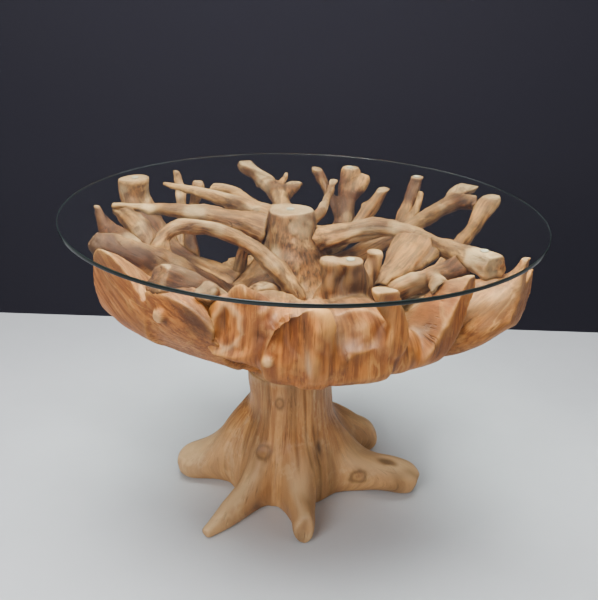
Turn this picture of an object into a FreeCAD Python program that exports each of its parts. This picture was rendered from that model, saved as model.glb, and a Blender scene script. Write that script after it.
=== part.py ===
import FreeCAD, Part
import math
import os
from FreeCAD import Vector

# Round dining table: a glass disc resting on the upturned root crown of a teak tree,
# which stands on a second stump with its own root feet.
# Millimetres, +Z up, origin on the floor under the centre of the glass, -Y is the front.
# Every height in the crown is a drop below the level plane in which the root tips are sawn off.

# Glass top and its clear pads
TABLE_HEIGHT = 770.0
GLASS_DIAMETER = 1200.0
GLASS_THICKNESS = 10.0
GLASS_ARRIS = 1.5
PAD_DIAMETER = 20.0
PAD_THICKNESS = 3.0

# Root crown
CROWN_DEPTH = 405.0
CROWN_SEAT_DIAMETER = 236.0
CROWN_CORE_DIAMETER = 430.0
KING_BASE_DIAMETER = 190.0
KING_TOP_DIAMETER = 96.0
CROWN_LEAN_X = -36.0
CROWN_LEAN_Y = 14.0

# Stump that carries the crown
STUMP_X = -18.0
STUMP_Y = -30.0
TRUNK_DIAMETER = 226.0
TRUNK_BASE_DIAMETER = 330.0

# Joinery
GLUE_LINE = 0.3
TENON_LENGTH = 55.0
KING_TENON_LENGTH = 32.0
TENON_SHARE = 0.28
TENON_LIMIT_DIAMETER = 40.0
TENON_LAP = 1.0
TENON_CLEARANCE = 0.15
SOCKET_END_GAP = 0.5
TIE_ROD_DIAMETER = 20.0
TIE_ROD_LENGTH = 300.0
DOWEL_DIAMETER = 28.0
DOWEL_LENGTH = 110.0
DOWEL_CIRCLE_DIAMETER = 150.0
DOWEL_COUNT = 4
PEG_CLEARANCE = 0.15

# Sanded outline of the crown
RIM_RADIUS = 549.0
RIM_DRAW = 10.0
RIM_BAND = 172.0
RIM_KNUCKLE = 30.0

# Form of the root sections
SECTION_POINTS = 10
ROUND = 2.0
SAWN = 3.2
BASE_FLARE = 1.3
SLIM_FLARE = 0.72
SWELL = 0.055
OVERSAW = 14.0

TIP_LEVEL = TABLE_HEIGHT - GLASS_THICKNESS - PAD_THICKNESS
SEAT_LEVEL = TIP_LEVEL - CROWN_DEPTH
STOCK = 3.0 * (TABLE_HEIGHT + GLASS_DIAMETER)
UP = Vector(0, 0, 1)


def at_drop(x, y, drop):
    """A point of the crown, its height counted down from the level of the sawn tips."""
    return Vector(x, y, TIP_LEVEL - drop)


def section(centre, side, rise, width, thickness, squareness, turn, keel=0.0):
    """One closed cross-section: a rounded outline with the slow swellings of a root."""
    points = []
    for k in range(SECTION_POINTS):
        angle = 2 * math.pi * k / SECTION_POINTS
        c = math.cos(angle)
        s = math.sin(angle)
        across = math.copysign(abs(c) ** (2 / squareness), c) * (1 + keel * s)
        along = math.copysign(abs(s) ** (2 / squareness), s)
        swell = 1 + SWELL * math.sin(2 * angle + 1.7 * turn) + SWELL / 2 * math.sin(3 * angle - 2.3 * turn)
        offset = side * (across * width / 2) + rise * (along * thickness / 2)
        points.append(centre + offset * swell)
    curve = Part.BSplineCurve()
    curve.interpolate(Points=points, PeriodicFlag=True)
    return Part.Wire(curve.toShape())


def frames(points, roll):
    """Tangent, side and rise of the section planes, carried along the path without twist."""
    found = []
    last = len(points) - 1
    side = None
    for i in range(last + 1):
        tangent = points[min(i + 1, last)] - points[max(i - 1, 0)]
        tangent.normalize()
        if side is None:
            side = tangent.cross(UP)
            side.normalize()
            side = side * math.cos(roll) + side.cross(tangent) * math.sin(roll)
        side = side - tangent * side.dot(tangent)
        side.normalize()
        found.append((tangent, side, side.cross(tangent)))
    return found


def limb(stations, squareness=ROUND, grow=0.0, roll=0.0, keel=0.0):
    """One root limb, lofted through stations (centre, width, thickness); grow thickens it all round."""
    centres = [station[0] for station in stations]
    wires = []
    for i, (tangent, side, rise) in enumerate(frames(centres, roll)):
        centre, width, thickness = stations[i]
        if grow and i in (0, len(stations) - 1):
            centre = centre + tangent * (grow if i else -grow)
        wide = width + 2 * grow
        thick = thickness + 2 * grow
        wires.append(section(centre, side, rise, wide, thick, squareness, i, keel))
    return Part.makeLoft(wires, True, False)


def beads(stations):
    """Centre line of a limb as points and radii, close enough together to see which limbs meet."""
    found = []
    for (a, wa, ta), (b, wb, tb) in zip(stations, stations[1:]):
        steps = max(2, int((b - a).Length / 12))
        for k in range(steps + 1):
            share = k / steps
            size = max(wa, ta) * (1 - share) + max(wb, tb) * share
            found.append((a + (b - a) * share, 0.6 * size))
    return found


def meets(beads_a, beads_b):
    """True where two limbs come close enough to touch."""
    return any((a - b).Length < ra + rb + 2 * GLUE_LINE for a, ra in beads_a for b, rb in beads_b)


def largest(shape):
    """The biggest solid of a cut, which is the piece that stays, with its faces outward."""
    stays = max(shape.Solids, key=lambda solid: abs(solid.Volume))
    return Part.makeSolid(stays)


def saw_level(shape):
    """Saws off what stands above the level of the tips."""
    waste = Part.makeBox(STOCK, STOCK, STOCK, Vector(-STOCK / 2, -STOCK / 2, TIP_LEVEL))
    return shape.cut(waste)


def hull(dip=0.0, reach=0.0):
    """The sanded outline: a round band below the glass and the full cone under it.

    The dip lowers the knuckle between band and cone, the reach widens the band.
    """
    rim = RIM_RADIUS + reach
    draw = rim - RIM_DRAW
    knuckle = RIM_BAND + dip
    seat = CROWN_SEAT_DIAMETER / 2
    slope = (CROWN_DEPTH - knuckle) / (draw - seat)
    profile = [at_drop(seat, 0, CROWN_DEPTH)]
    for radius in (0.4 * (draw + seat), draw - 2 * RIM_KNUCKLE):
        profile.append(at_drop(radius, 0, CROWN_DEPTH - (radius - seat) * slope + 0.25 * RIM_KNUCKLE))
    profile.append(at_drop(draw - 0.4 * RIM_KNUCKLE, 0, knuckle))
    profile.append(at_drop(draw, 0, knuckle - 1.6 * RIM_KNUCKLE))
    profile.append(at_drop(rim, 0, -OVERSAW))
    curve = Part.BSplineCurve()
    curve.interpolate(Points=profile)
    axis_top = at_drop(0, 0, -OVERSAW)
    axis_foot = at_drop(0, 0, CROWN_DEPTH)
    lines = [Part.LineSegment(profile[-1], axis_top), Part.LineSegment(axis_top, axis_foot)]
    lines.append(Part.LineSegment(axis_foot, profile[0]))
    outline = Part.Wire([curve.toShape()] + [line.toShape() for line in lines])
    return Part.Face(outline).revolve(Vector(0, 0, 0), UP, 360)


# Core of the crown: drop, lean share and diameter of each level, from the seat to the sawn king root.
CORE_LEVELS = (
    (CROWN_DEPTH, 0.0, CROWN_SEAT_DIAMETER),
    (CROWN_DEPTH - 55, 0.0, 0.76 * CROWN_CORE_DIAMETER),
    (CROWN_DEPTH - 115, 0.1, CROWN_CORE_DIAMETER),
    (CROWN_DEPTH - 165, 0.2, 0.97 * CROWN_CORE_DIAMETER),
    (CROWN_DEPTH - 205, 0.3, 0.74 * CROWN_CORE_DIAMETER),
    (CROWN_DEPTH - 255, 0.45, KING_BASE_DIAMETER + 26),
    (CROWN_DEPTH - 305, 0.65, 0.5 * (KING_BASE_DIAMETER + KING_TOP_DIAMETER) + 18),
    (CROWN_DEPTH - 365, 0.85, KING_TOP_DIAMETER + 28),
    (-OVERSAW, 1.0, KING_TOP_DIAMETER),
)


def core_at(drop):
    """Centre and radius of the crown's core at a drop."""
    for (d0, l0, w0), (d1, l1, w1) in zip(CORE_LEVELS, CORE_LEVELS[1:]):
        if d1 <= drop <= d0:
            share = (d0 - drop) / (d0 - d1)
            lean = l0 + (l1 - l0) * share
            x = STUMP_X + (CROWN_LEAN_X - STUMP_X) * lean
            y = STUMP_Y + (CROWN_LEAN_Y - STUMP_Y) * lean
            return at_drop(x, y, drop), 0.5 * (w0 + (w1 - w0) * share)
    raise ValueError("the drop is outside the crown")


def core_stations():
    """Stations of the crown's core, from the seat up."""
    return [(core_at(drop)[0], width, width) for drop, lean, width in CORE_LEVELS]


def core_solid(grow=0.0):
    """The crown's core: a stout flare with the king root standing on it."""
    wires = []
    for i, (centre, width, depth) in enumerate(core_stations()):
        wide = width + 2 * grow
        wires.append(section(centre, Vector(1, 0, 0), Vector(0, 1, 0), wide, wide, ROUND, i))
    return Part.makeLoft(wires, True, False)


class Root:
    """A root piece: a main limb with its forks, let into the core or coped to its neighbours.

    A station is x, y, drop, width and thickness. A seat is an azimuth in degrees and a drop on the core.
    The trim is the dip and reach of the sanded outline, for the roots that reach the rim.
    """

    def __init__(self, name, stations, forks=(), seat=None, trim=None, form=ROUND, roll=0.0, keel=0.0,
                 tenon=TENON_LENGTH, flare=BASE_FLARE):
        self.name = name
        self.form = form
        self.roll = math.radians(roll)
        self.keel = keel
        self.trim = trim
        self.tenon_axis = None
        path = [(at_drop(x, y, drop), width, thickness) for x, y, drop, width, thickness in stations]
        if seat is not None:
            path = self.seated(path, seat, tenon, flare)
        self.limbs = [path]
        for fork in forks:
            self.limbs.append([(at_drop(x, y, drop), w, t) for x, y, drop, w, t in fork])
        self.lines = [beads(stations_of) for stations_of in self.limbs]
        self.grown = {}

    def seated(self, path, seat, tenon, flare):
        """Starts the path inside the core, at an azimuth and drop of its surface, flared by a share."""
        azimuth, drop = seat
        centre, radius = core_at(drop)
        out = Vector(math.cos(math.radians(azimuth)), math.sin(math.radians(azimuth)), 0)
        start = centre + out * (radius - tenon)
        first, width, thickness = path[0]
        self.tenon_radius = min(TENON_SHARE * min(width, thickness), TENON_LIMIT_DIAMETER / 2)
        axis = first - start
        axis.normalize()
        self.tenon_axis = (start, axis, tenon)
        return [(start, flare * width, flare * thickness)] + path

    def raw(self, grow=0.0):
        """The grown form before it is sawn and fitted."""
        solids = [limb(self.limbs[0], self.form, grow, self.roll, self.keel)]
        for stations in self.limbs[1:]:
            solids.append(limb(stations, ROUND, grow))
        return solids[0].fuse(solids[1:]) if len(solids) > 1 else solids[0]

    def meets(self, line):
        """True where any limb of the root comes close enough to another limb to touch it."""
        return any(meets(own, line) for own in self.lines)

    def peg_meets(self, line):
        """True where the shoulder of the tenon comes close enough to another limb to touch it."""
        start, axis, length = self.tenon_axis
        mouth = start + axis * length
        reach = self.tenon_radius + 2 * GLUE_LINE
        return any((mouth - place).Length < radius + reach for place, radius in line)

    def cutter(self, number):
        """One limb, grown by the glue line, which copes a later root."""
        if number not in self.grown:
            form, roll, keel = (ROUND, 0.0, 0.0) if number else (self.form, self.roll, self.keel)
            self.grown[number] = limb(self.limbs[number], form, GLUE_LINE, roll, keel)
        return self.grown[number]

    def tenon(self):
        """The round tenon that is let into the core."""
        start, axis, length = self.tenon_axis
        return Part.makeCylinder(self.tenon_radius, 2 * length, start, axis)

    def socket(self):
        """The bore in the core that takes the tenon."""
        start, axis, length = self.tenon_axis
        radius = self.tenon_radius + TENON_CLEARANCE
        return Part.makeCylinder(radius, 3 * length, start - axis * SOCKET_END_GAP, axis)

    def crest(self):
        """The level place above the last station but one, where a flat-lying arm is sawn."""
        place = self.limbs[0][-2][0]
        return Vector(place.x, place.y, TIP_LEVEL)

    def tip(self, limb_number=0):
        """Where the centre line of a limb leaves the level plane."""
        stations = self.limbs[limb_number]
        below = stations[-2][0]
        above = stations[-1][0]
        share = min(1.0, (TIP_LEVEL - below.z) / (above.z - below.z)) if above.z > below.z else 1.0
        place = below + (above - below) * share
        return Vector(place.x, place.y, TIP_LEVEL)


# The roots, in the order in which they are fitted: each is coped to those before it.
ROOTS = (
    Root(
        "left_slab",
        [
            (-235, -205, 242, 150, 150),
            (-335, -290, 190, 190, 168),
            (-402, -348, 130, 220, 182),
            (-440, -381, 102, 240, 204),
            (-480, -415, 98, 245, 204),
        ],
        seat=(-140, 285),
        flare=SLIM_FLARE,
        trim=(-18, 0),
        form=SAWN,
        roll=7,
    ),
    Root(
        "front_left_root",
        [
            (-34, -300, 205, 130, 160),
            (-50, -385, 156, 140, 162),
            (-96, -442, 118, 132, 144),
            (-162, -496, 95, 112, 122),
        ],
        forks=[
            [(-26, -300, 196, 110, 140), (-26, -430, 152, 106, 176), (-24, -580, 126, 104, 190)],
            [(-60, -420, 105, 58, 55), (-95, -466, 55, 54, 50), (-130, -500, 20, 48, 42)],
        ],
        seat=(-98, 285),
        flare=SLIM_FLARE,
        trim=(14, 0),
    ),
    Root(
        "front_nose_root",
        [(28, -290, 225, 90, 160), (27, -420, 165, 84, 180), (27, -575, 122, 80, 188)],
        seat=(-77, 290),
        flare=SLIM_FLARE,
        trim=(25, 0),
        form=SAWN,
        keel=0.22,
    ),
    Root(
        "front_stub_root",
        [(88, -280, 210, 130, 160), (108, -400, 155, 145, 160), (120, -506, 150, 150, 160)],
        forks=[
            [
                (86, -250, 150, 112, 84),
                (98, -312, 88, 124, 84),
                (101, -338, 46, 96, 60),
                (102, -342, -OVERSAW, 50, 46),
            ],
            [(88, -300, 84, 50, 46), (66, -332, 40, 44, 42), (58, -336, -OVERSAW, 40, 36)],
            [(118, -305, 84, 50, 46), (150, -288, 40, 40, 38), (158, -280, -OVERSAW, 36, 34)],
            [(84, -230, 105, 30, 30), (91, -276, 72, 28, 26)],
        ],
        seat=(-60, 285),
        flare=SLIM_FLARE,
        trim=(18, 0),
        form=SAWN,
    ),
    Root(
        "right_front_slab",
        [
            (190, -265, 218, 90, 118),
            (250, -362, 164, 72, 150),
            (300, -418, 116, 58, 190),
            (350, -470, 90, 46, 214),
        ],
        seat=(-43, 285),
        flare=SLIM_FLARE,
        trim=(0, 0),
        form=SAWN,
        roll=27,
    ),
    Root(
        "right_slab",
        [
            (225, -200, 215, 90, 140),
            (302, -300, 162, 86, 136),
            (374, -322, 122, 82, 126),
            (440, -296, 107, 76, 116),
            (500, -260, 100, 66, 110),
            (552, -228, 98, 58, 108),
        ],
        forks=[[(468, -286, 66, 46, 56), (490, -298, 24, 36, 44), (502, -303, -OVERSAW, 32, 36)]],
        seat=(-24, 292),
        trim=(0, 34),
        form=SAWN,
    ),
    Root(
        "front_rib",
        [
            (150, -400, 190, 60, 54),
            (184, -470, 132, 52, 64),
            (198, -502, 82, 46, 68),
            (184, -516, 30, 44, 62),
            (154, -506, -OVERSAW, 42, 50),
        ],
        trim=(4, 0),
    ),
    Root(
        "left_front_root",
        [
            (-150, -265, 230, 120, 120),
            (-215, -385, 184, 170, 136),
            (-262, -470, 166, 200, 140),
            (-284, -508, 166, 200, 140),
        ],
        seat=(-118, 295),
        trim=(-22, 0),
        form=SAWN,
        roll=12,
    ),
    Root(
        "squared_limb",
        [
            (-110, -262, 204, 96, 104),
            (-155, -310, 168, 94, 100),
            (-205, -358, 120, 94, 104),
            (-255, -396, 62, 82, 90),
            (-298, -426, 20, 52, 54),
        ],
        forks=[[(-185, -370, 115, 46, 48), (-192, -420, 64, 46, 42), (-197, -456, 32, 42, 34)]],
        form=SAWN,
    ),
    Root(
        "left_block",
        [
            (-250, -130, 170, 90, 104),
            (-350, -178, 102, 90, 104),
            (-430, -195, 60, 78, 84),
            (-486, -200, 22, 42, 36),
        ],
        forks=[
            [(-400, -160, 78, 60, 60), (-462, -74, 54, 48, 44), (-503, -32, 26, 30, 28), (-522, -8, -4, 14, 13)],
        ],
        seat=(-162, 270),
    ),
    Root(
        "left_rear_root",
        [
            (-230, 35, 205, 92, 88),
            (-300, 75, 196, 88, 84),
            (-367, 125, 172, 86, 78),
            (-418, 188, 132, 88, 70),
            (-458, 236, 90, 94, 62),
            (-477, 258, 48, 98, 56),
            (-474, 260, -OVERSAW, 98, 54),
        ],
        seat=(172, 235),
    ),
    Root(
        "right_arm",
        [
            (52, 5, 70, 74, 68),
            (106, 0, 54, 60, 54),
            (160, -6, 38, 52, 50),
            (210, -22, 28, 50, 46),
            (284, -80, 32, 50, 44),
            (332, -137, 35, 52, 46),
            (376, -212, 31, 60, 54),
            (404, -258, 27, 64, 62),
            (424, -297, 26, 62, 60),
        ],
        seat=(0, 80),
        tenon=KING_TENON_LENGTH,
    ),
    Root(
        "middle_left_arm",
        [
            (-112, 25, 58, 80, 78),
            (-160, 38, 52, 72, 70),
            (-225, 48, 42, 60, 56),
            (-300, 45, 28, 44, 40),
            (-391, 26, 14, 30, 24),
            (-484, 13, 6, 18, 12),
        ],
        seat=(172, 64),
        flare=SLIM_FLARE,
        tenon=KING_TENON_LENGTH,
    ),
    Root(
        "upper_left_arm",
        [
            (-110, 70, 32, 58, 56),
            (-180, 120, 25, 50, 46),
            (-250, 165, 17, 40, 32),
            (-320, 205, 11, 28, 20),
            (-392, 237, 6, 12, 9),
        ],
        forks=[
            [(-120, 105, 30, 36, 34), (-175, 188, 22, 40, 36), (-215, 228, 18, 42, 34), (-258, 240, 18, 36, 30)],
        ],
        seat=(138, 32),
        tenon=KING_TENON_LENGTH,
    ),
    Root(
        "rear_arm",
        [
            (-48, 110, 45, 56, 50),
            (-66, 200, 32, 52, 46),
            (-88, 290, 26, 48, 42),
            (-138, 400, 18, 44, 36),
            (-184, 508, 12, 48, 34),
        ],
        forks=[
            [(-72, 215, 32, 48, 42), (-44, 262, 18, 42, 36), (-14, 278, -4, 26, 24)],
            [(-84, 285, 26, 26, 24), (-62, 335, 14, 20, 18), (-54, 380, 2, 12, 10)],
        ],
        seat=(100, 52),
        tenon=KING_TENON_LENGTH,
    ),
    Root(
        "left_arch",
        [
            (-36, -140, 132, 54, 50),
            (-66, -130, 103, 50, 48),
            (-98, -122, 76, 46, 44),
            (-165, -106, 38, 40, 38),
            (-214, -100, 23, 38, 34),
            (-263, -94, 19, 38, 34),
            (-316, -95, 24, 38, 36),
            (-340, -116, 48, 40, 40),
            (-338, -150, 84, 44, 44),
            (-334, -178, 120, 48, 46),
        ],
        seat=(-88, 185),
        tenon=KING_TENON_LENGTH,
    ),
    Root(
        "broken_stub",
        [(-88, -170, 150, 62, 56), (-108, -214, 140, 54, 46)],
        seat=(-120, 195),
        tenon=KING_TENON_LENGTH,
    ),
    Root(
        "back_post",
        [
            (80, 195, 152, 60, 58),
            (108, 262, 118, 58, 54),
            (120, 340, 74, 56, 52),
            (127, 400, 46, 52, 48),
            (136, 476, -OVERSAW, 44, 42),
        ],
        forks=[
            [(120, 335, 74, 44, 42), (150, 376, 40, 44, 40), (178, 404, 14, 40, 34)],
            [
                (106, 262, 112, 36, 34),
                (84, 315, 68, 36, 34),
                (58, 375, 36, 34, 32),
                (28, 454, -OVERSAW, 32, 30),
            ],
        ],
        seat=(62, 190),
    ),
    Root(
        "rear_right_post",
        [
            (140, 116, 162, 46, 44),
            (202, 172, 144, 44, 42),
            (262, 222, 120, 42, 40),
            (281, 262, 94, 38, 38),
            (306, 330, 49, 36, 36),
            (331, 388, -OVERSAW, 38, 34),
        ],
        forks=[[(276, 236, 108, 28, 26), (312, 252, 69, 24, 22), (327, 275, 15, 18, 16)]],
        seat=(42, 178),
    ),
    Root(
        "rear_right_arm",
        [
            (150, 22, 112, 52, 50),
            (215, 48, 84, 50, 48),
            (266, 80, 68, 48, 46),
            (340, 150, 47, 46, 44),
            (408, 208, 28, 48, 44),
            (472, 196, 22, 50, 40),
        ],
        forks=[[(398, 208, 30, 46, 42), (436, 262, 12, 56, 44), (470, 312, -4, 58, 40)]],
        seat=(8, 150),
    ),
    Root(
        "right_brace",
        [
            (285, -128, 165, 44, 44),
            (330, -85, 132, 40, 38),
            (360, -38, 110, 38, 36),
            (408, 42, 90, 38, 38),
            (460, 130, 58, 44, 40),
            (490, 170, 24, 52, 38),
            (526, 216, 4, 24, 22),
        ],
    ),
    Root(
        "slant_stick",
        [(105, 62, 100, 38, 36), (140, 102, 70, 36, 34), (186, 182, 32, 36, 34), (226, 246, -OVERSAW, 36, 32)],
        seat=(42, 125),
        tenon=KING_TENON_LENGTH,
    ),
    Root(
        "thin_strut",
        [(22, 70, 44, 26, 26), (56, 180, 28, 24, 24), (74, 268, 14, 24, 24), (84, 324, -OVERSAW, 30, 26)],
        seat=(66, 50),
        tenon=KING_TENON_LENGTH,
    ),
    Root(
        "right_lower_limb",
        [
            (368, -218, 48, 52, 48),
            (312, -258, 58, 52, 52),
            (266, -268, 72, 52, 54),
            (211, -274, 96, 50, 52),
            (158, -278, 124, 46, 48),
        ],
        forks=[[(290, -262, 56, 32, 30), (293, -325, 48, 32, 30), (294, -380, 44, 36, 28)]],
    ),
    Root(
        "right_web",
        [(280, -106, 34, 120, 42), (234, -180, 58, 92, 40), (196, -244, 80, 54, 42), (182, -272, 94, 44, 40)],
    ),
    Root(
        "left_cross_limb",
        [(-474, 32, 24, 40, 30), (-421, -40, 33, 50, 48), (-385, -90, 53, 54, 52), (-362, -124, 84, 50, 50)],
    ),
    Root(
        "left_tall_post",
        [
            (-296, 92, 190, 36, 36),
            (-305, 140, 130, 34, 34),
            (-308, 175, 85, 32, 32),
            (-302, 212, 48, 30, 30),
            (-299, 254, -OVERSAW, 28, 28),
        ],
    ),
    Root(
        "left_thin_post",
        [
            (-338, 118, 170, 28, 28),
            (-338, 200, 97, 26, 26),
            (-346, 260, 66, 22, 22),
            (-361, 320, 31, 18, 18),
            (-379, 364, -OVERSAW, 18, 16),
        ],
    ),
    Root(
        "inner_prop",
        [(-165, 28, 178, 42, 30), (-152, 18, 125, 40, 28), (-138, 24, 80, 46, 32)],
    ),
    Root(
        "rear_left_stub",
        [(-112, 175, 315, 150, 96), (-160, 262, 308, 165, 92), (-210, 352, 304, 170, 88)],
        seat=(116, 318),
        flare=SLIM_FLARE,
        trim=(0, 0),
        form=SAWN,
        roll=6,
    ),
    Root(
        "rear_stub",
        [(12, 190, 312, 150, 96), (24, 285, 304, 160, 92), (34, 385, 300, 160, 88)],
        seat=(82, 316),
        flare=SLIM_FLARE,
        trim=(6, 0),
        form=SAWN,
        roll=-5,
    ),
    Root(
        "rear_right_stub",
        [(150, 118, 308, 150, 98), (232, 182, 298, 155, 94), (310, 245, 292, 150, 90)],
        seat=(40, 314),
        flare=SLIM_FLARE,
        trim=(-6, 0),
        form=SAWN,
        roll=8,
    ),
    Root(
        "right_stub",
        [(205, -12, 300, 140, 100), (295, -6, 285, 140, 94), (385, 2, 275, 135, 90)],
        seat=(4, 312),
        trim=(0, 0),
        form=SAWN,
        roll=-6,
    ),
)

# Sawn tips that carry a pad, as root and limb, and the arm that carries one short of its end.
PAD_TIPS = (("left_rear_root", 0), ("back_post", 0), ("rear_right_post", 0), ("front_stub_root", 1))
PAD_ARM = "right_arm"

# Root feet of the stump: each runs from inside the trunk to its toe. x, y, height, width, thickness.
FEET = (
    [
        (-4, -90, 60, 150, 420),
        (2, -140, 60, 134, 290),
        (6, -185, 58, 112, 200),
        (14, -235, 50, 82, 126),
        (22, -290, 46, 60, 104),
        (27, -338, 42, 46, 90),
    ],
    [
        (-58, -85, 60, 140, 400),
        (-88, -140, 58, 110, 230),
        (-112, -186, 50, 84, 132),
        (-150, -240, 34, 62, 84),
        (-190, -286, 22, 46, 54),
        (-222, -322, 12, 30, 34),
    ],
    [
        (-100, -30, 60, 160, 440),
        (-150, -30, 60, 150, 330),
        (-190, -31, 56, 140, 190),
        (-250, -32, 44, 118, 112),
        (-300, -34, 36, 96, 88),
        (-326, -35, 30, 58, 50),
    ],
    [
        (60, -45, 60, 160, 420),
        (105, -52, 60, 156, 250),
        (140, -58, 54, 148, 152),
        (185, -66, 48, 136, 106),
        (240, -78, 48, 112, 100),
        (300, -90, 42, 94, 86),
        (330, -96, 30, 58, 54),
    ],
    [
        (30, 10, 60, 150, 400),
        (80, 48, 60, 140, 290),
        (118, 76, 56, 128, 200),
        (160, 104, 46, 116, 150),
        (200, 128, 34, 96, 110),
        (226, 142, 26, 60, 60),
    ],
    [
        (-45, 30, 60, 150, 380),
        (-68, 75, 60, 136, 280),
        (-88, 120, 54, 124, 180),
        (-105, 170, 44, 104, 116),
        (-118, 215, 36, 84, 84),
        (-124, 240, 28, 52, 48),
    ],
)


def stump():
    """The stump: a fluted trunk that spreads into root feet, sawn flat on the floor and at the seat."""
    levels = (
        (-OVERSAW, TRUNK_BASE_DIAMETER),
        (0.22 * SEAT_LEVEL, TRUNK_DIAMETER + 0.6 * (TRUNK_BASE_DIAMETER - TRUNK_DIAMETER)),
        (0.44 * SEAT_LEVEL, TRUNK_DIAMETER + 0.3 * (TRUNK_BASE_DIAMETER - TRUNK_DIAMETER)),
        (0.72 * SEAT_LEVEL, TRUNK_DIAMETER + 0.05 * (TRUNK_BASE_DIAMETER - TRUNK_DIAMETER)),
        (SEAT_LEVEL, TRUNK_DIAMETER),
    )
    wires = []
    for i, (height, width) in enumerate(levels):
        centre = Vector(STUMP_X, STUMP_Y, height)
        wires.append(section(centre, Vector(1, 0, 0), Vector(0, 1, 0), width, width, ROUND, i))
    trunk = Part.makeLoft(wires, True, False)
    feet = []
    for stations in FEET:
        feet.append(limb([(Vector(x, y, z), width, thickness) for x, y, z, width, thickness in stations]))
    grown = trunk.fuse(feet)
    below = Part.makeBox(STOCK, STOCK, STOCK, Vector(-STOCK / 2, -STOCK / 2, -STOCK))
    return largest(grown.cut([below] + peg_holes()))


def peg_places():
    """Axes of the hidden pegs between stump and crown: centre, diameter, length."""
    pegs = [(Vector(STUMP_X, STUMP_Y, SEAT_LEVEL), TIE_ROD_DIAMETER, TIE_ROD_LENGTH)]
    for k in range(DOWEL_COUNT):
        angle = 2 * math.pi * (k + 0.5) / DOWEL_COUNT
        offset = Vector(math.cos(angle), math.sin(angle), 0) * (DOWEL_CIRCLE_DIAMETER / 2)
        pegs.append((Vector(STUMP_X, STUMP_Y, SEAT_LEVEL) + offset, DOWEL_DIAMETER, DOWEL_LENGTH))
    return pegs


def upright(centre, diameter, length):
    """A vertical cylinder about a centre."""
    return Part.makeCylinder(diameter / 2, length, centre - UP * (length / 2))


def peg_holes():
    """Bores for the pegs, in both the stump and the crown."""
    holes = []
    for centre, diameter, length in peg_places():
        holes.append(upright(centre, diameter + 2 * PEG_CLEARANCE, length + 2 * SOCKET_END_GAP))
    return holes


def glass_top():
    """The round pane, with its polished edge eased on both arrises."""
    base = TABLE_HEIGHT - GLASS_THICKNESS
    pane = Part.makeCylinder(GLASS_DIAMETER / 2, GLASS_THICKNESS, Vector(0, 0, base))
    rims = [edge for edge in pane.Edges if edge.Curve.TypeId == "Part::GeomCircle"]
    return pane.makeChamfer(GLASS_ARRIS, rims)


def pads(places):
    """Clear pads on the sawn tips, which carry the glass."""
    return [Part.makeCylinder(PAD_DIAMETER / 2, PAD_THICKNESS, place) for place in places]


def fitted(roots):
    """Every root sawn level, trimmed to the rim and coped to the core and to the roots fitted before it."""
    core_bare = core_solid()
    core_cutter = core_solid(GLUE_LINE)
    core_reach = core_solid(GLUE_LINE + TENON_LAP)
    core_line = beads(core_stations())
    pieces = {}
    for order, root in enumerate(roots):
        shape = saw_level(root.raw())
        if root.trim:
            shape = shape.common(hull(*root.trim))
        if root.meets(core_line):
            shape = shape.cut(core_cutter)
        for earlier in roots[:order]:
            for number, line in enumerate(earlier.lines):
                if root.meets(line):
                    shape = shape.cut(earlier.cutter(number))
        shape = largest(shape)
        if root.tenon_axis:
            peg = root.tenon().common(core_reach)
            for earlier in roots[:order]:
                for number, line in enumerate(earlier.lines):
                    if root.peg_meets(line):
                        peg = peg.cut(earlier.cutter(number).cut(core_bare))
            shape = largest(shape.fuse(largest(peg)))
        pieces[root.name] = shape
    return pieces


def main():
    """Builds every piece and writes one STEP file for each node."""
    os.makedirs("parts", exist_ok=True)
    roots = {root.name: root for root in ROOTS}
    nodes = fitted(ROOTS)
    sockets = [root.socket() for root in ROOTS if root.tenon_axis]
    nodes["root_crown"] = largest(saw_level(core_solid()).cut(sockets + peg_holes()))
    nodes["stump"] = stump()
    pegs = [upright(*place) for place in peg_places()]
    nodes["tie_rod"] = pegs[0]
    nodes["seat_dowels"] = Part.makeCompound(pegs[1:])
    nodes["glass_top"] = glass_top()
    rests = [roots[name].tip(limb_number) for name, limb_number in PAD_TIPS]
    rests.append(roots[PAD_ARM].crest())
    rests.append(core_at(0)[0])
    nodes["glass_pads"] = Part.makeCompound(pads(rests))
    for name, shape in nodes.items():
        shape.exportStep(os.path.join("parts", name + ".step"))
        solids = shape.Solids
        volume = sum(solid.Volume for solid in solids) / 1000
        print(f"{name:20s} solids {len(solids)} volume {volume:9.1f} cm3 valid {shape.isValid()}")


main()
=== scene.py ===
import logging
import math
from dataclasses import dataclass, field
from enum import Enum

import bmesh
import bpy
import numpy as np
from mathutils import Matrix, Vector
from mathutils.bvhtree import BVHTree


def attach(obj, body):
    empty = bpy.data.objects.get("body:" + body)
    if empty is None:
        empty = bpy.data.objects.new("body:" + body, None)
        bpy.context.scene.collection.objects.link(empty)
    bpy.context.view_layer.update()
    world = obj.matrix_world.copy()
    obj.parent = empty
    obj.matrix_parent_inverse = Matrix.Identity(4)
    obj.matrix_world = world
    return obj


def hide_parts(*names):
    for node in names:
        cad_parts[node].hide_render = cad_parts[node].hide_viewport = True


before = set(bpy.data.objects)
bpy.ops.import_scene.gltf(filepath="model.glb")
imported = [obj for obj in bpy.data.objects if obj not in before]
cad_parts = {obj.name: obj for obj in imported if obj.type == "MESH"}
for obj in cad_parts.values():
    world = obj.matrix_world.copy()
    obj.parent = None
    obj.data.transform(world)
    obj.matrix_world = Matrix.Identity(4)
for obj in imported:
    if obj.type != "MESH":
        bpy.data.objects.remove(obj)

LOG = logging.getLogger("root_table")

Colour = tuple[float, float, float, float]
Spot = tuple[float, float, float]

# sizes in metres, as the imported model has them
TIP_LEVEL = 0.757
CROWN_AXIS = np.array([-0.030, 0.0])
KING_RADIUS = 0.13

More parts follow.
